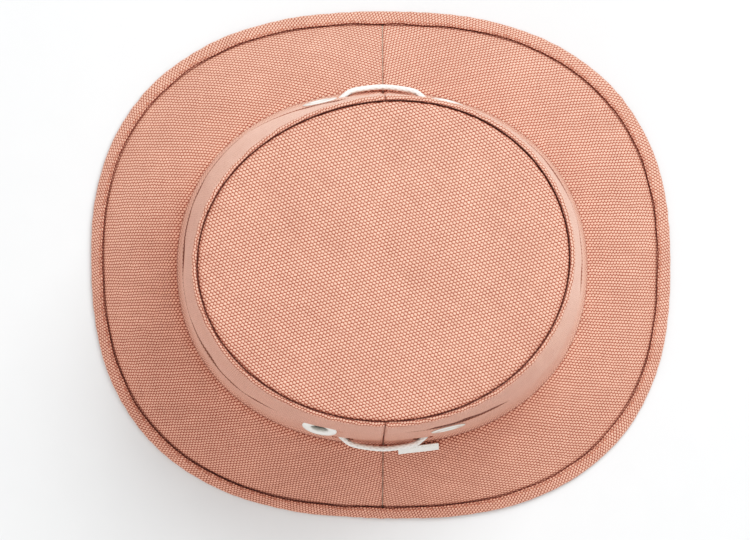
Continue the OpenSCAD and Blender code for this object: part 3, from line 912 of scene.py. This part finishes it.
def crown_pieces():
    h = hat()
    canvas = canvas_material()
    made = []
    # The tip: a flat oval with its grain on the slant.
    t = np.arange(0, 360, 0.6)
    inside = np.concatenate([np.linspace(0, 0.9, 40), 1 - np.linspace(0.09, 0, 34) ** 1.0])
    f = inside[None, :]
    rim = h.tip_r(t[:, None]) - h.tip_in
    down = (1 - f) * rim
    gather = h.pucker(t[:, None] + 1.5)
    rise = gather * (0.14 * hump(down, 2.6, 2.4) + 0.08 * np.exp(-down / 10))
    x, y = f * rim * cosd(t[:, None]), f * rim * sind(t[:, None])
    swell = 0.35 * np.sin(x / 23 + 0.7) * np.sin(y / 19 + 1.1) * ease(down / 25)
    z = h.tip_height(f) + rise + swell - 0.35 * hump(down, 0, 1.6)
    top = h.place(t[:, None], np.stack([f * rim, z], -1))
    low = h.place(t[:, None], np.stack([f * rim, z - h.canvas_t], -1))
    a = math.radians(-43.6)
    uv = np.stack([x * math.cos(a) + y * math.sin(a), y * math.cos(a) - x * math.sin(a)], -1)
    uv = np.concatenate([uv, uv[:1]])
    # Painted shade along the tip seam: the "seam" attribute darkens the canvas where it turns under.
    tip = shell("crown_tip_cloth", top, low, uv, True, seam=0.9 * hump(down, 0, 0.55))
    weld(tip)
    finish_piece(tip, canvas, ["crown_tip"])
    made.append(tip)
    for side, middle, start in (("front", 180, SEAM_RIGHT), ("back", 0, -SEAM_RIGHT)):
        made.append(wall_panel(h, side, middle, start, canvas))
    return made


def wall_panel(h, side, middle, start, canvas):
    """One half of the crown's wall, with its eyelet holes and buttonholes cut."""
    gap = math.degrees(h.seam_gap / h.crown_width)
    t = strip(start + gap, start + 180 - gap)
    rows = h.wall_rows()
    low_t = np.repeat(t[:, None], len(rows), 1)
    low_h = np.repeat(rows[None, :], len(t), 0)
    cut = np.zeros((len(t) - 1, len(rows) - 1), bool)
    dents = []
    for seam in (start, start + 180):
        way = 1 if seam == start else -1
        for angle, height, half, radius, speed_up in (
            (seam + way * h.vent_angle, h.vent_h, 0, h.vent_d / 2 + 0.8, 0),
            (seam + way * h.slot_a, h.slot_h, (h.slot_l - h.cord_d - 1.2) / 2, (h.cord_d + 1.2) / 2, 0),
        ):
            cut |= snap_hole(h, low_t, low_h, angle, height, half, radius)
        dents.append(seam + way * h.vent_angle)
    all_t, path = h.wall(low_t, low_h)
    n_low, n = len(rows), path.shape[1]
    # Seam edges roll in, and the cloth beside them is pressed up a little.
    beside = np.minimum(all_t - start, start + 180 - all_t) * math.radians(1) * path[..., 0]
    sink = 0.62 * np.exp(-((np.maximum(beside, 0) / 0.75) ** 1.4)) - 0.16 * hump(beside, 2.6, 1.6)
    outer = shift(path, -sink)
    inner = shift(path, -h.canvas_t)
    # Round the base seam's edge, and let the cloth meet the eyelets' flanges.
    for angle in dents:
        c, (out, tip) = h.wall_pt(angle, h.vent_h), h.eyelet_axis(angle)
        for face in (outer, inner):
            p = h.place(all_t, face)
            rel = (p - c) / MM
            far = rel @ out
            across = np.linalg.norm(rel - far[..., None] * out, axis=-1)
            pull = np.where(np.abs(far) < 9, 1 - ease((across - 7.0) / 8.0), 0)
            want = 0.02 if face is outer else 0.02 - h.canvas_t
            face[..., 0] += pull * np.clip(want - far, -0.6 - 9 * tip, 1.2 + 9 * tip)
    inner[..., 1] = np.maximum(inner[..., 1], h.base_z(all_t) + 0.0)
    holes = np.zeros((len(t) - 1, n - 1), bool)
    holes[:, : n_low - 1] = cut
    arc = np.radians(all_t - middle) * (h.crown_length + h.crown_width) / 4 * 0.965
    step = np.linalg.norm(np.diff(path, axis=1), axis=-1)
    up = np.concatenate([np.zeros((len(path), 1)), np.cumsum(step, 1)], 1)
    over_base = path[..., 1] - h.base_z(all_t)
    # Painted shade: the "seam" attribute darkens the canvas in the crease, along the tip seam, beside the side seams
    # and along the base seam.
    fold = h.crease(all_t) * hump(over_base, h.crease_h + 0.3, 0.75)
    depth = np.maximum(0.95 * fold, 0.9 * hump(up[:, -1:] - up, 0, 0.6))
    depth = np.maximum(depth, 0.6 * hump(np.maximum(beside, 0), 0, 0.4))
    depth = np.maximum(depth, 0.6 * hump(up, 0, 0.5))
    obj = shell(
        f"crown_wall_{side}_cloth",
        h.place(all_t, outer),
        h.place(all_t, inner),
        np.stack([arc, up], -1),
        False,
        holes,
        seam=depth,
    )
    finish_piece(obj, canvas, [f"crown_wall_{side}"])
    area, long, tall = area_of(h.place(all_t, outer))
    return obj


def snap_hole(h, t, height, angle, middle, half, radius):
    """Moves the grid's points onto a hole's edge and marks the cells inside it."""
    c, (out, down, across) = h.wall_pt(angle, middle), h.wall_axes(angle, middle)
    speed = np.linalg.norm(h.wall_pt(angle + 0.5, middle) - h.wall_pt(angle - 0.5, middle)) / MM

    def local():
        rel = (h.wall_pt(t, height) - c) / MM
        x, y = rel @ down, rel @ across
        y_end = np.clip(y, -half, half)
        return x, y, y_end, np.hypot(x, y - y_end), np.abs(rel @ out)

    x, y, y_end, far, off = local()
    inside = np.where(off < 12, far, 99)
    cell = (inside[1:, 1:] + inside[:-1, 1:] + inside[1:, :-1] + inside[:-1, :-1]) / 4
    cut = cell < radius
    near_cut, near_kept = np.zeros(t.shape, bool), np.zeros(t.shape, bool)
    for i in (slice(1, None), slice(None, -1)):
        for j in (slice(1, None), slice(None, -1)):
            near_cut[i, j] |= cut
            near_kept[i, j] |= ~cut
    edge = near_cut & near_kept
    for _ in range(4):
        x, y, y_end, far, off = local()
        grow = radius / np.maximum(far, 1e-6) - 1
        t[edge] += ((y - y_end) * grow / speed)[edge]
        height[edge] -= (x * grow)[edge]
    return cut


def brim_pieces():
    h = hat()
    canvas, under, stiff = canvas_material(), under_material(), stiffener_material()
    gap = math.degrees(h.seam_gap / h.crown_width)
    top, tc = -h.brim_t / 2, h.canvas_t
    made = []
    for side, middle, start in (("front", 180, SEAM_RIGHT), ("back", 0, -SEAM_RIGHT)):
        t = strip(start + gap, start + 180 - gap)
        path = h.brim(t)
        uv = h.panel_uv(t, path, middle)
        beside = np.minimum(t - start, start + 180 - t)[:, None] * math.radians(1) * path[..., 0]
        sink = 0.55 * np.exp(-((beside / 0.75) ** 1.4)) - 0.12 * hump(beside, 2.4, 1.5)
        # The canvas dips where the binding is sewn through it.
        step = np.linalg.norm(np.diff(path, axis=1), axis=-1)
        left = np.concatenate([np.cumsum(step[:, ::-1], 1)[:, ::-1], np.zeros((len(t), 1))], 1)
        press = 0.28 * hump(left, h.binding_w + 0.7, 0.8)
        for name, node, near, far, bed, finish, sign in (
            ("top", f"brim_top_{side}", top, top + tc, canvas, "canvas", 1),
            ("under", f"brim_under_{side}", -top, -top - tc, under, "under_canvas", -1),
        ):
            face = shift(path, near + sign * (sink + press) * (1 if sign > 0 else 0.8))
            back = shift(path, far + 0 * sink)
            # Painted shade: the "seam" attribute darkens the canvas along the binding's inner edge and beside the side
            # seams.
            obj = shell(
                f"brim_{name}_{side}_cloth",
                h.place(t[:, None], face),
                h.place(t[:, None], back),
                uv,
                False,
                seam=np.maximum(0.85 * hump(left, h.binding_w + 0.15, 0.5), 0.5 * hump(beside, 0, 0.4)),
            )
            finish_piece(obj, bed, [node])
            area, _, _ = area_of(h.place(t[:, None], face))
            made.append(obj)
    t = np.arange(0, 360, 1.0)
    path = h.brim(t)[:, ::2]
    half = h.stiffener_t / 2
    uv = np.zeros((len(t) + 1, path.shape[1], 2))
    obj = shell(
        "brim_stiffener_sheet",
        h.place(t[:, None], shift(path, -half)),
        h.place(t[:, None], shift(path, half)),
        uv,
        True,
    )
    finish_piece(obj, stiff, ["brim_stiffener"])
    made.append(obj)
    return made


def binding_pieces():
    h = hat()
    canvas = canvas_material()
    t = np.arange(0, 360, 0.5)
    edge = 0.28 * waves(t, 41, 7, 8, 40)
    outer, inner = h.hem(t, h.hem_r, edge), h.hem(t, h.hem_r - h.canvas_t, edge - 0.25)
    puff = 0.1 * waves(t, 42, 10, 60, 130)[:, None] + 0.1 * waves(t, 43, 6, 14, 30)[:, None]
    outer = shift(outer, puff)
    outer[..., 1] = np.maximum(outer[..., 1], 0.0)
    inner[..., 1] = np.maximum(inner[..., 1], 0.3)
    ring = h.place(t[:, None], outer)
    step = np.linalg.norm(np.diff(ring[:, 40], axis=0, append=ring[:1, 40]), axis=-1) / MM
    along = np.concatenate([[0], np.cumsum(step)])
    over = np.linalg.norm(np.diff(outer, axis=1), axis=-1).mean(0)
    over = np.concatenate([[0], np.cumsum(over)])
    u, v = np.meshgrid(along, over, indexing="ij")
    uv = np.stack([u + v, v - u], -1) * math.sqrt(0.5)
    # Painted shade: the "seam" attribute darkens the binding along its two inner edges and its stitch groove.
    ends = np.minimum(over, over[-1] - over)[None, :]
    depth = np.maximum(0.9 * hump(ends, 0, 0.35), 0.45 * hump(ends, 1.35, 0.4)) + 0 * t[:, None]
    obj = shell("brim_binding_strip", ring, h.place(t[:, None], inner), uv, True, seam=depth)
    finish_piece(obj, canvas, ["brim_binding"])
    thread = thread_material("canvas-coloured thread", "#e2ad99", "#b77764")
    groove = h.hem(t, h.hem_r - 0.28, edge, 0.0)
    n = groove.shape[1]
    k = int(np.abs(np.linspace(1.0, 0.78, 9) * h.binding_w - (h.binding_w - 1.35)).argmin())
    sewn = stitches(
        "binding_stitches",
        [
            (h.place(t, groove[:, k]), True),
            (h.place(t, groove[:, n - 1 - k]), True),
        ],
        2.9,
        2.3,
        0.4,
        thread,
    )
    return [obj, sewn]


def lining_pieces():
    h = hat()
    made = []
    tape = tape_material()
    # Tape over the tip seam, turned down the shoulder and in under the tip.
    t = np.arange(0, 360, 1.0)
    _, path = h.wall(t)
    p = shift(path, -(h.canvas_t + h.layer_gap))
    f = np.array([1.0, 0.985, 0.965, 0.94])[None, :]
    ring = (h.tip_r(t)[:, None] - h.tip_in) * f
    under = np.stack([ring, h.tip_height(f) - h.canvas_t - h.layer_gap - 0.55 + 0 * ring], -1)
    rows = np.concatenate([p[:, -26:-8:2], under], 1)
    rows = smoothed(rows, 2)
    up = np.linspace(0, 17, rows.shape[1])
    uv = np.stack(np.meshgrid(np.radians(np.append(t, 360)) * 80, up, indexing="ij"), -1)
    obj = shell(
        "tip_seam_tape_strip",
        h.place(t[:, None], rows),
        h.place(t[:, None], shift(rows, -h.tape_t)),
        uv,
        True,
    )
    finish_piece(obj, tape, ["tip_seam_tape"])
    area, long, tall = area_of(h.place(t[:, None], rows))
    made.append(obj)
    paths = []
    for side, seam in (("left", SEAM_LEFT), ("right", SEAM_RIGHT)):
        half = math.degrees(12 / h.crown_width)
        t = np.linspace(seam - half, seam + half, 21)
        _, path = h.wall(t)
        p = shift(path, -(h.canvas_t + h.layer_gap))
        start = int((h.wall_rows() < h.band_h + 1.5).sum())
        rows = smoothed(p[:, start:-29], 2)
        up = np.linspace(0, 70, rows.shape[1])
        uv = np.stack(np.meshgrid(np.linspace(-6, 6, len(t)), up, indexing="ij"), -1)
        back = shift(rows, -h.tape_t)
        obj = shell(
            f"side_seam_tape_{side}_strip",
            h.place(t[:, None], rows),
            h.place(t[:, None], back),
            uv,
            False,
        )
        finish_piece(obj, tape, [f"side_seam_tape_{side}"])
        area, long, tall = area_of(h.place(t[:, None], rows))
        made.append(obj)
        inside = h.place(t[:, None], shift(back, -0.05))
        paths += [(inside[2], False), (inside[-3], False)]
    # The sweatband, folded along its top edge.
    cotton = sweatband_material()
    t = np.arange(0, 360, 0.75)
    rise = np.concatenate([np.linspace(-3, h.band_h - 1.2, 24), h.band_h - np.array([0.8, 0.45, 0.15, 0])])
    r = h.lower_r(t[:, None], np.maximum(0, rise)[None, :]) - h.band_out
    z = h.base_z(t)[:, None] + rise[None, :]
    face = np.stack([r, z], -1)
    back = shift(face, -h.band_t)
    fold = np.zeros_like(r)
    fold[:, -4:] = np.array([0.08, 0.2, 0.42, 0.7])[None, :]
    channel = 0.22 * hump(rise, h.band_h - 3.2, 0.6)[None, :] + 0.3 * waves(t, 51, 9, 30, 70)[:, None] * hump(
        rise, h.band_h - 1.5, 2.5
    )[None, :] * 0.4
    uv = np.stack(np.meshgrid(np.radians(np.append(t, 360)) * 88, rise, indexing="ij"), -1)
    obj = shell(
        "sweatband_cloth",
        h.place(t[:, None], shift(face, -fold)),
        h.place(t[:, None], shift(back, fold + channel)),
        uv,
        True,
        sharp=70,
    )
    finish_piece(obj, cotton, ["sweatband"])
    area, long, tall = area_of(h.place(t[:, None], face))
    made.append(obj)
    row = shift(back, -0.02)[:, int(np.abs(rise - (h.band_h - 3.2)).argmin())]
    low = shift(back, -0.08)[:, 2]
    white_thread = thread_material("white thread", "#f2efe8", "#cfc9bc")
    made.append(
        stitches(
            "sweatband_stitches",
            [(h.place(t, row), True), (h.place(t, low), True)],
            3.0,
            2.4,
            0.4,
            white_thread,
        )
    )
    thread = thread_material("tape thread", "#d9a795", "#a86f5e")
    made.append(stitches("tape_stitches", paths, 2.8, 2.2, 0.38, thread))
    # The care label, hung flat on the sweatband's inner face.
    label = label_material()
    half = math.degrees(22 / h.crown_length)
    t = np.linspace(325 - half, 325 + half, 29)
    rise = np.linspace(4, h.band_h - 2, 20)
    r = h.lower_r(t[:, None], rise[None, :]) - h.band_out - h.band_t - 0.5
    curl = 0.25 * hump(rise, 4, 3)[None, :] * (1 + 0.6 * cosd(6 * (t - 325) * 10))[:, None]
    face = np.stack([r, h.base_z(t)[:, None] + rise[None, :]], -1)
    face[..., 0] -= curl
    uv = np.stack(np.meshgrid(np.linspace(-11, 11, len(t)), rise, indexing="ij"), -1)
    back = shift(face, 0.4)
    obj = shell("care_label_cloth", h.place(t[:, None], face), h.place(t[:, None], back), uv, False)
    finish_piece(obj, label, ["care_label"])
    area, long, tall = area_of(h.place(t[:, None], face))
    made.append(obj)
    top = h.place(t[:, None], shift(face, -0.03))[1:-1, -3]
    made.append(
        stitches("care_label_stitches", [(top, False)], 1.9, 1.5, 0.3, white_thread)
    )
    return made


def hardware_pieces():
    """The four eyelets and their washers, turned from profiles and set on the wall."""
    h = hat()
    enamel = enamel_material()
    r0, r1, barrel = h.vent_d / 2, h.flange_d / 2, 0.6
    off = h.canvas_t + (h.flange_d - 2) ** 2 / (4 * h.crown_width) + 0.35
    deep = off + 0.6 + 0.3
    dome = [(r0 + 2.4 + 2.25 * math.sin(a), 0.7 * math.cos(a) ** 0.8) for a in np.linspace(-1.2, 1.5, 12)]
    lip = [(r0 + 0.28 * (1 - math.sin(a)), 0.14 - 0.25 * (1 - math.sin(a))) for a in (1.5,)]
    outer = [(r1 - 0.12, 0.3), (r1, 0.14), (r1 - 0.06, 0.0)]
    eyelet = (
        [(r0 + barrel * 0.3, -deep - 0.0), (r0, -deep + 0.25), (r0, -0.45), (r0 + 0.1, 0.1), (r0 + 0.4, 0.42), (r0 + 0.9, 0.62), (r0 + 1.5, 0.7)]
        + [(r0 + 2.2, 0.7), (r1 - 1.3, 0.62), (r1 - 0.6, 0.48), (r1 - 0.15, 0.28), (r1, 0.1), (r1 - 0.08, 0.0)]
        + [(r0 + barrel + 0.3, 0.0), (r0 + barrel, -0.25), (r0 + barrel, -deep + 0.2), (r0 + barrel * 0.7, -deep)]
    )
    w1, w0 = (h.flange_d - 2) / 2, r0 + barrel + 0.1
    washer = [
        (w0, -0.55),
        (w0 + 0.1, -0.05),
        (w0 + 0.4, 0.0),
        (w1 - 0.3, 0.0),
        (w1, -0.15),
        (w1, -0.45),
        (w1 - 0.25, -0.6),
        (w0 + 0.35, -0.6),
    ]
    made = []
    for name, outline, lift in (("eyelet", eyelet, 0.12), ("washer", washer, -off)):
        profile = turned(name + " profile", outline, 72)
        for place, angle in (
            ("front_left", SEAM_LEFT - h.vent_angle),
            ("front_right", SEAM_RIGHT + h.vent_angle),
            ("back_left", SEAM_LEFT + h.vent_angle),
            ("back_right", SEAM_RIGHT - h.vent_angle),
        ):
            out = h.eyelet_axis(angle)[0]
            at = h.wall_pt(angle, h.vent_h) + out * lift * MM
            mesh = bpy.data.meshes.new(f"{name}_{place}")
            mesh.from_pydata([at.tolist()], [], [])
            facing = mesh.attributes.new("facing", "FLOAT_VECTOR", "POINT")
            facing.data[0].vector = out.tolist()
            obj = bpy.data.objects.new(f"{name}_{place}_turned", mesh)
            bpy.context.scene.collection.objects.link(obj)
            baked(obj, hardware_tree(), {"Profile": profile, "Material": enamel})
            obj.data.set_sharp_from_angle(angle=math.radians(55))
            finish_piece(obj, enamel, [f"{name}_{place}"])
            made.append(obj)
        bpy.data.objects.remove(profile)
    return made


def turned(name, outline, sides):
    """A closed outline of (radius, height) in millimetres turned round the z axis."""
    a = np.arange(sides) * math.tau / sides
    r, z = np.array(outline, float).T * MM
    points = np.stack(
        [np.outer(np.cos(a), r), np.outer(np.sin(a), r), np.broadcast_to(z, (sides, len(z)))], -1
    )
    n = len(outline)
    i, j = np.meshgrid(np.arange(sides), np.arange(n), indexing="ij")
    i2, j2 = (i + 1) % sides, (j + 1) % n
    faces = np.stack([i * n + j, i2 * n + j, i2 * n + j2, i * n + j2], -1).reshape(-1, 4)
    flat = points.reshape(-1, 3)
    p, q, s = (flat[faces[:, k]] for k in range(3))
    if (np.cross(q - p, s - p) * p).sum() < 0:
        faces = faces[:, ::-1]
    return mesh_object(name, flat, faces, None, 55)


# The wind cord's route, as in the CAD: [angle, height, distance out of the wall].
def cord_route(h):
    inside = -h.canvas_t - h.pocket / 2
    bow_out, rise, low = 3.3, 4 * h.cord_d, 6.0
    halves = [(-17.5, 6, 0), (-15.2, 6, 0.14), (-13, 6, 0.5), (-10.4, 5.6, 0.84), (-5.5, 3.8, 0.97)]

    def out(share):
        return inside + share * (bow_out - inside)

    def bow(at):
        return (
            [(at + a, z, out(s)) for a, z, s in halves]
            + [(at, 2.6, bow_out)]
            + [(at - a, z, out(s)) for a, z, s in reversed(halves)]
        )

    def run(t0, t1, n, z):
        return [(t0 + (t1 - t0) * i / n, z, inside) for i in range(n + 1)]

    def turn(t, z, way):
        wide = math.degrees(rise / (h.crown_length + h.crown_width) * 2)
        return [
            (t + way * wide * math.cos(math.radians(a)), z + rise / 2 * (1 + math.sin(math.radians(a))), inside)
            for a in (-60, -20, 20, 60)
        ]

    far, near = 232, 118
    return (
        bow(SEAM_RIGHT)
        + run(SEAM_RIGHT + 28, far, 12, low)
        + turn(far, low, 1)
        + run(far, near + 8, 11, low + rise)
        + turn(near + 8, low + rise, -1)
        + run(near + 8, far + 4, 11, low + 2 * rise)
        + [(far + 10, low + 1.75 * rise, inside), (far + 14, low + rise, inside), (far + 17, low + 0.3 * rise, inside)]
        + bow(SEAM_LEFT)
        + run(SEAM_LEFT + 27, SEAM_RIGHT + 360 - 27, 13, low)
    )


def rounded(points, parts):
    """A closed smooth line through points, with parts steps between each two."""
    p0, p1 = np.roll(points, 1, 0), points
    p2, p3 = np.roll(points, -1, 0), np.roll(points, -2, 0)
    gap = [np.linalg.norm(b - a, axis=1) ** 0.5 for a, b in ((p0, p1), (p1, p2), (p2, p3))]
    t1 = gap[0][:, None]
    t2, t3 = t1 + gap[1][:, None], t1 + gap[1][:, None] + gap[2][:, None]
    rows = []
    for k in range(parts):
        t = t1 + (t2 - t1) * k / parts
        a1 = (t1 - t) / t1 * p0 + t / t1 * p1
        a2 = (t2 - t) / (t2 - t1) * p1 + (t - t1) / (t2 - t1) * p2
        a3 = (t3 - t) / (t3 - t2) * p2 + (t - t2) / (t3 - t2) * p3
        b1 = (t2 - t) / t2 * a1 + t / t2 * a2
        b2 = (t3 - t) / (t3 - t1) * a2 + (t - t1) / (t3 - t1) * a3
        rows.append((t2 - t) / (t2 - t1) * b1 + (t - t1) / (t2 - t1) * b2)
    return np.stack(rows, 1).reshape(-1, 3)


def cord_piece():
    h = hat()
    route = np.array(cord_route(h), float)
    t, z, out = route.T
    path = np.stack([h.lower_r(t, z) + out, h.base_z(t) + z], -1)
    line = rounded(h.place(t, path), 9)
    n, sides = len(line), 14
    ahead = np.roll(line, -1, 0) - np.roll(line, 1, 0)
    ahead /= np.linalg.norm(ahead, axis=1, keepdims=True)
    centre = np.array([-h.mid[0] * MM, -h.mid[1] * MM, 0])
    out = (line - centre) * [1, 1, 0]
    out -= ahead * (out * ahead).sum(1, keepdims=True)
    out /= np.linalg.norm(out, axis=1, keepdims=True)
    side = np.cross(ahead, out)
    a = np.arange(sides) * math.tau / sides
    ring = out[:, None] * np.cos(a)[None, :, None] + side[:, None] * np.sin(a)[None, :, None]
    points = line[:, None] + ring * h.cord_d / 2 * MM
    step = np.linalg.norm(np.roll(line, -1, 0) - line, axis=1) / MM
    along = np.concatenate([[0], np.cumsum(step)])
    i, j = np.meshgrid(np.arange(n), np.arange(sides), indexing="ij")
    i2, j2 = (i + 1) % n, (j + 1) % sides
    faces = np.stack([i * sides + j, i2 * sides + j, i2 * sides + j2, i * sides + j2], -1)
    uvs = np.stack(
        [
            np.stack([along[i], j / sides], -1),
            np.stack([along[i + 1], j / sides], -1),
            np.stack([along[i + 1], (j + 1) / sides], -1),
            np.stack([along[i], (j + 1) / sides], -1),
        ],
        -2,
    )
    faces, uvs = faces.reshape(-1, 4), uvs.reshape(-1, 4, 2)
    flat = points.reshape(-1, 3)
    p, q, s = (flat[faces[:, k]] for k in range(3))
    if (np.cross(q - p, s - p) * p).sum() < 0:
        faces, uvs = faces[:, ::-1], uvs[:, ::-1]
    obj = mesh_object("wind_cord_braid", flat, faces, uvs, 180)
    finish_piece(obj, cord_material(), ["wind_cord"])
    return obj


def label_piece():
    """The blank label tab, folded along its free edge and sewn along the other."""
    h = hat()
    angle = SEAM_LEFT + 11
    up_slope = 2.6
    root = np.array([h.brim_t / 2])

    def brim_face(t):
        r0, z0 = h.base_r(t), h.base_z(t) - h.layer_gap - h.brim_t / 2
        a = np.array([r0 + 2, z0 - 1])
        b = np.array([h.brim_r(t) - h.hem_r, h.hem_r - h.hem_flat])
        before = np.array([r0 - 0.2, z0])
        s = np.array([0, 0.35, 0.7])
        pts = a + (b - a) * s[:, None]
        pts[:, 1] += 1.2 * sind(180 * s)
        path = shift(np.concatenate([[before], pts]), -root[0])
        return [h.place(t, path[k]) for k in (1, 2)]

    along = brim_face(angle + 4.5)[0] - brim_face(angle - 4.5)[0]
    along /= np.linalg.norm(along)
    at, lower = brim_face(angle)
    out = np.cross(lower - at, along)
    out /= np.linalg.norm(out)
    down = np.cross(along, out)
    rows, cols = 41, 22
    u = np.linspace(-h.tab_w / 2, h.tab_w / 2, rows)[:, None]
    v = np.linspace(-up_slope, h.tab_l - up_slope, cols)[None, :]
    edge = np.clip((h.tab_l - up_slope - v) / 0.45, 0, 1)
    half = 0.35 * np.sqrt(np.clip(1 - (1 - edge) ** 2, 0.02, 1)) + 0 * u
    sewn_at = 0.9 - up_slope
    pressed = 0.09 * hump(v, sewn_at, 0.4)
    wavy = 0.07 * np.sin(u / 2.7 + 0.4) * ease((v + up_slope) / h.tab_l)
    mid = 0.4 + 0.35 + wavy

    def face(sign):
        high = mid + sign * (half - pressed)
        return at + MM * (u[..., None] * along + v[..., None] * down + high[..., None] * out)

    uv = np.stack(np.broadcast_arrays(u, v), -1)
    label = label_material()
    obj = shell("label_tab_cloth", face(1), face(-1), uv, False, sharp=70)
    finish_piece(obj, label, ["label_tab"], "label")
    # Its cut is 10 mm long: what shows, and the end that goes into the seam.
    line = at + MM * (u[1:-1] * along + sewn_at * down + (mid[1:-1, 4:5] + 0.3) * out)
    thread = thread_material("label thread", "#f4f2ec", "#d5d1c6")
    sewn = stitches("label_tab_stitches", [(line, False)], 1.9, 1.5, 0.28, thread, "label")
    return [obj, sewn]


# ---------- stage ----------


def stage_pieces():
    h = hat()
    size = 3.0
    n = 9
    g = np.linspace(-size, size, n)
    x, y = np.meshgrid(g, g, indexing="ij")
    points = np.stack([x, y, 0 * x], -1).reshape(-1, 3)
    i, j = np.meshgrid(np.arange(n - 1), np.arange(n - 1), indexing="ij")
    faces = np.stack([i * n + j, (i + 1) * n + j, (i + 1) * n + j + 1, i * n + j + 1], -1).reshape(-1, 4)
    floor = mesh_object("floor_sweep", points, faces)
    floor.data.materials.append(paper_material())
    world = bpy.data.worlds.new("studio fill")
    world.use_nodes = True
    world.node_tree.nodes.clear()
    back = add(world.node_tree, "ShaderNodeBackground", None, Color=(1, 0.95, 0.92, 1), Strength=0.54)
    add(world.node_tree, "ShaderNodeOutputWorld", None, Surface=back)
    bpy.context.scene.world = world
    aim = Vector((0, 0, 0.05))
    for name, turn, rise, away, side, power in (
        ("softbox", 55, 50, 1.7, 1.0, 21),
        ("overhead", 200, 82, 2.2, 1.6, 8),
        ("fill", 240, 35, 2.0, 1.6, 8),
    ):
        data = bpy.data.lights.new(name, "AREA")
        data.shape, data.size, data.energy = "SQUARE", side, power
        light = bpy.data.objects.new(name, data)
        a, e = math.radians(turn), math.radians(rise)
        light.location = aim + away * Vector(
            (math.cos(e) * math.cos(a), math.cos(e) * math.sin(a), math.sin(e))
        )
        light.rotation_euler = (aim - light.location).to_track_quat("-Z", "Y").to_euler()
        bpy.context.scene.collection.objects.link(light)
    data = bpy.data.cameras.new("overhead camera")
    data.sensor_width, data.lens = 36, 156.3
    camera = bpy.data.objects.new("overhead camera", data)
    axis = Vector((-h.mid[0] * MM, -h.mid[1] * MM, 0))
    camera.location = axis + Vector((-0.019, -0.054, 1.632))
    look = Vector((-0.003, -0.0028, 0.0)) - camera.location
    camera.rotation_euler = upright(look).to_euler()
    bpy.context.scene.collection.objects.link(camera)
    bpy.context.scene.camera = camera
    view = bpy.context.scene.view_settings
    view.view_transform = "Standard"
    # A print-like contrast curve: deeper shadows, whites kept clean.
    view.use_curve_mapping = True
    curve = view.curve_mapping
    line = curve.curves[3]
    soft = 0.5
    for x in (0.1, 0.2, 0.35, 0.5, 0.65, 0.8):
        line.points.new(x, (1 + soft) * x * x / (x * x + soft))
    curve.update()
    return floor


def upright(look):
    """A camera's turn that looks along a direction, with +Y up in the picture."""
    from mathutils import Matrix

    back = -look.normalized()
    right = Vector((0, 1, 0)).cross(back).normalized()
    up = back.cross(right)
    return Matrix((right, up, back)).transposed()


# ---------- operators and panel ----------


def operator(idname, label, text, make):
    """An operator class that builds pieces, and raises if it can't."""

    def execute(self, context):
        make()
        return {"FINISHED"}

    name = "HAT_OT_" + idname
    return type(
        name,
        (bpy.types.Operator,),
        {"bl_idname": "hat." + idname, "bl_label": label, "__doc__": text, "execute": execute},
    )


OPERATORS = [
    operator("stage", "Stage", "Floor, studio light and camera", stage_pieces),
    operator("cord", "Wind cord", "Braided cord stowed behind the sweatband", cord_piece),
    operator("crown", "Crown", "Tip and the two wall panels", crown_pieces),
    operator("brim", "Brim", "Top canvas, stiffener and under canvas", brim_pieces),
    operator("binding", "Binding", "Bias strip round the hem and its stitches", binding_pieces),
    operator("linings", "Linings", "Tapes, sweatband and care label", lining_pieces),
    operator("hardware", "Eyelets", "Four eyelets and their washers", hardware_pieces),
    operator("label", "Label tab", "Blank label on the brim", label_piece),
]


class HAT_PT_panel(bpy.types.Panel):
    """Builds the hat piece by piece."""

    bl_label = "Bucket Hat"
    bl_idname = "HAT_PT_panel"
    bl_space_type = "VIEW_3D"
    bl_region_type = "UI"
    bl_category = "Bucket Hat"

    def draw(self, context):
        for group in (context.scene.hat_sizes, context.scene.hat_cloth):
            column = self.layout.column(align=True)
            for key in group.__annotations__:
                column.prop(group, key)
        for item in OPERATORS:
            self.layout.operator(item.bl_idname)


CLASSES = [HatSizes, HatCloth, *OPERATORS, HAT_PT_panel]


def register():
    for item in CLASSES:
        bpy.utils.register_class(item)
    bpy.types.Scene.hat_sizes = PointerProperty(type=HatSizes)
    bpy.types.Scene.hat_cloth = PointerProperty(type=HatCloth)


def unregister():
    del bpy.types.Scene.hat_cloth
    del bpy.types.Scene.hat_sizes
    for item in reversed(CLASSES):
        bpy.utils.unregister_class(item)


def main():
    register()
    bpy.ops.hat.stage()
    bpy.ops.hat.cord()
    bpy.ops.hat.crown()
    bpy.ops.hat.brim()
    bpy.ops.hat.binding()
    bpy.ops.hat.linings()
    bpy.ops.hat.hardware()
    bpy.ops.hat.label()


if __name__ == "__main__":
    main()
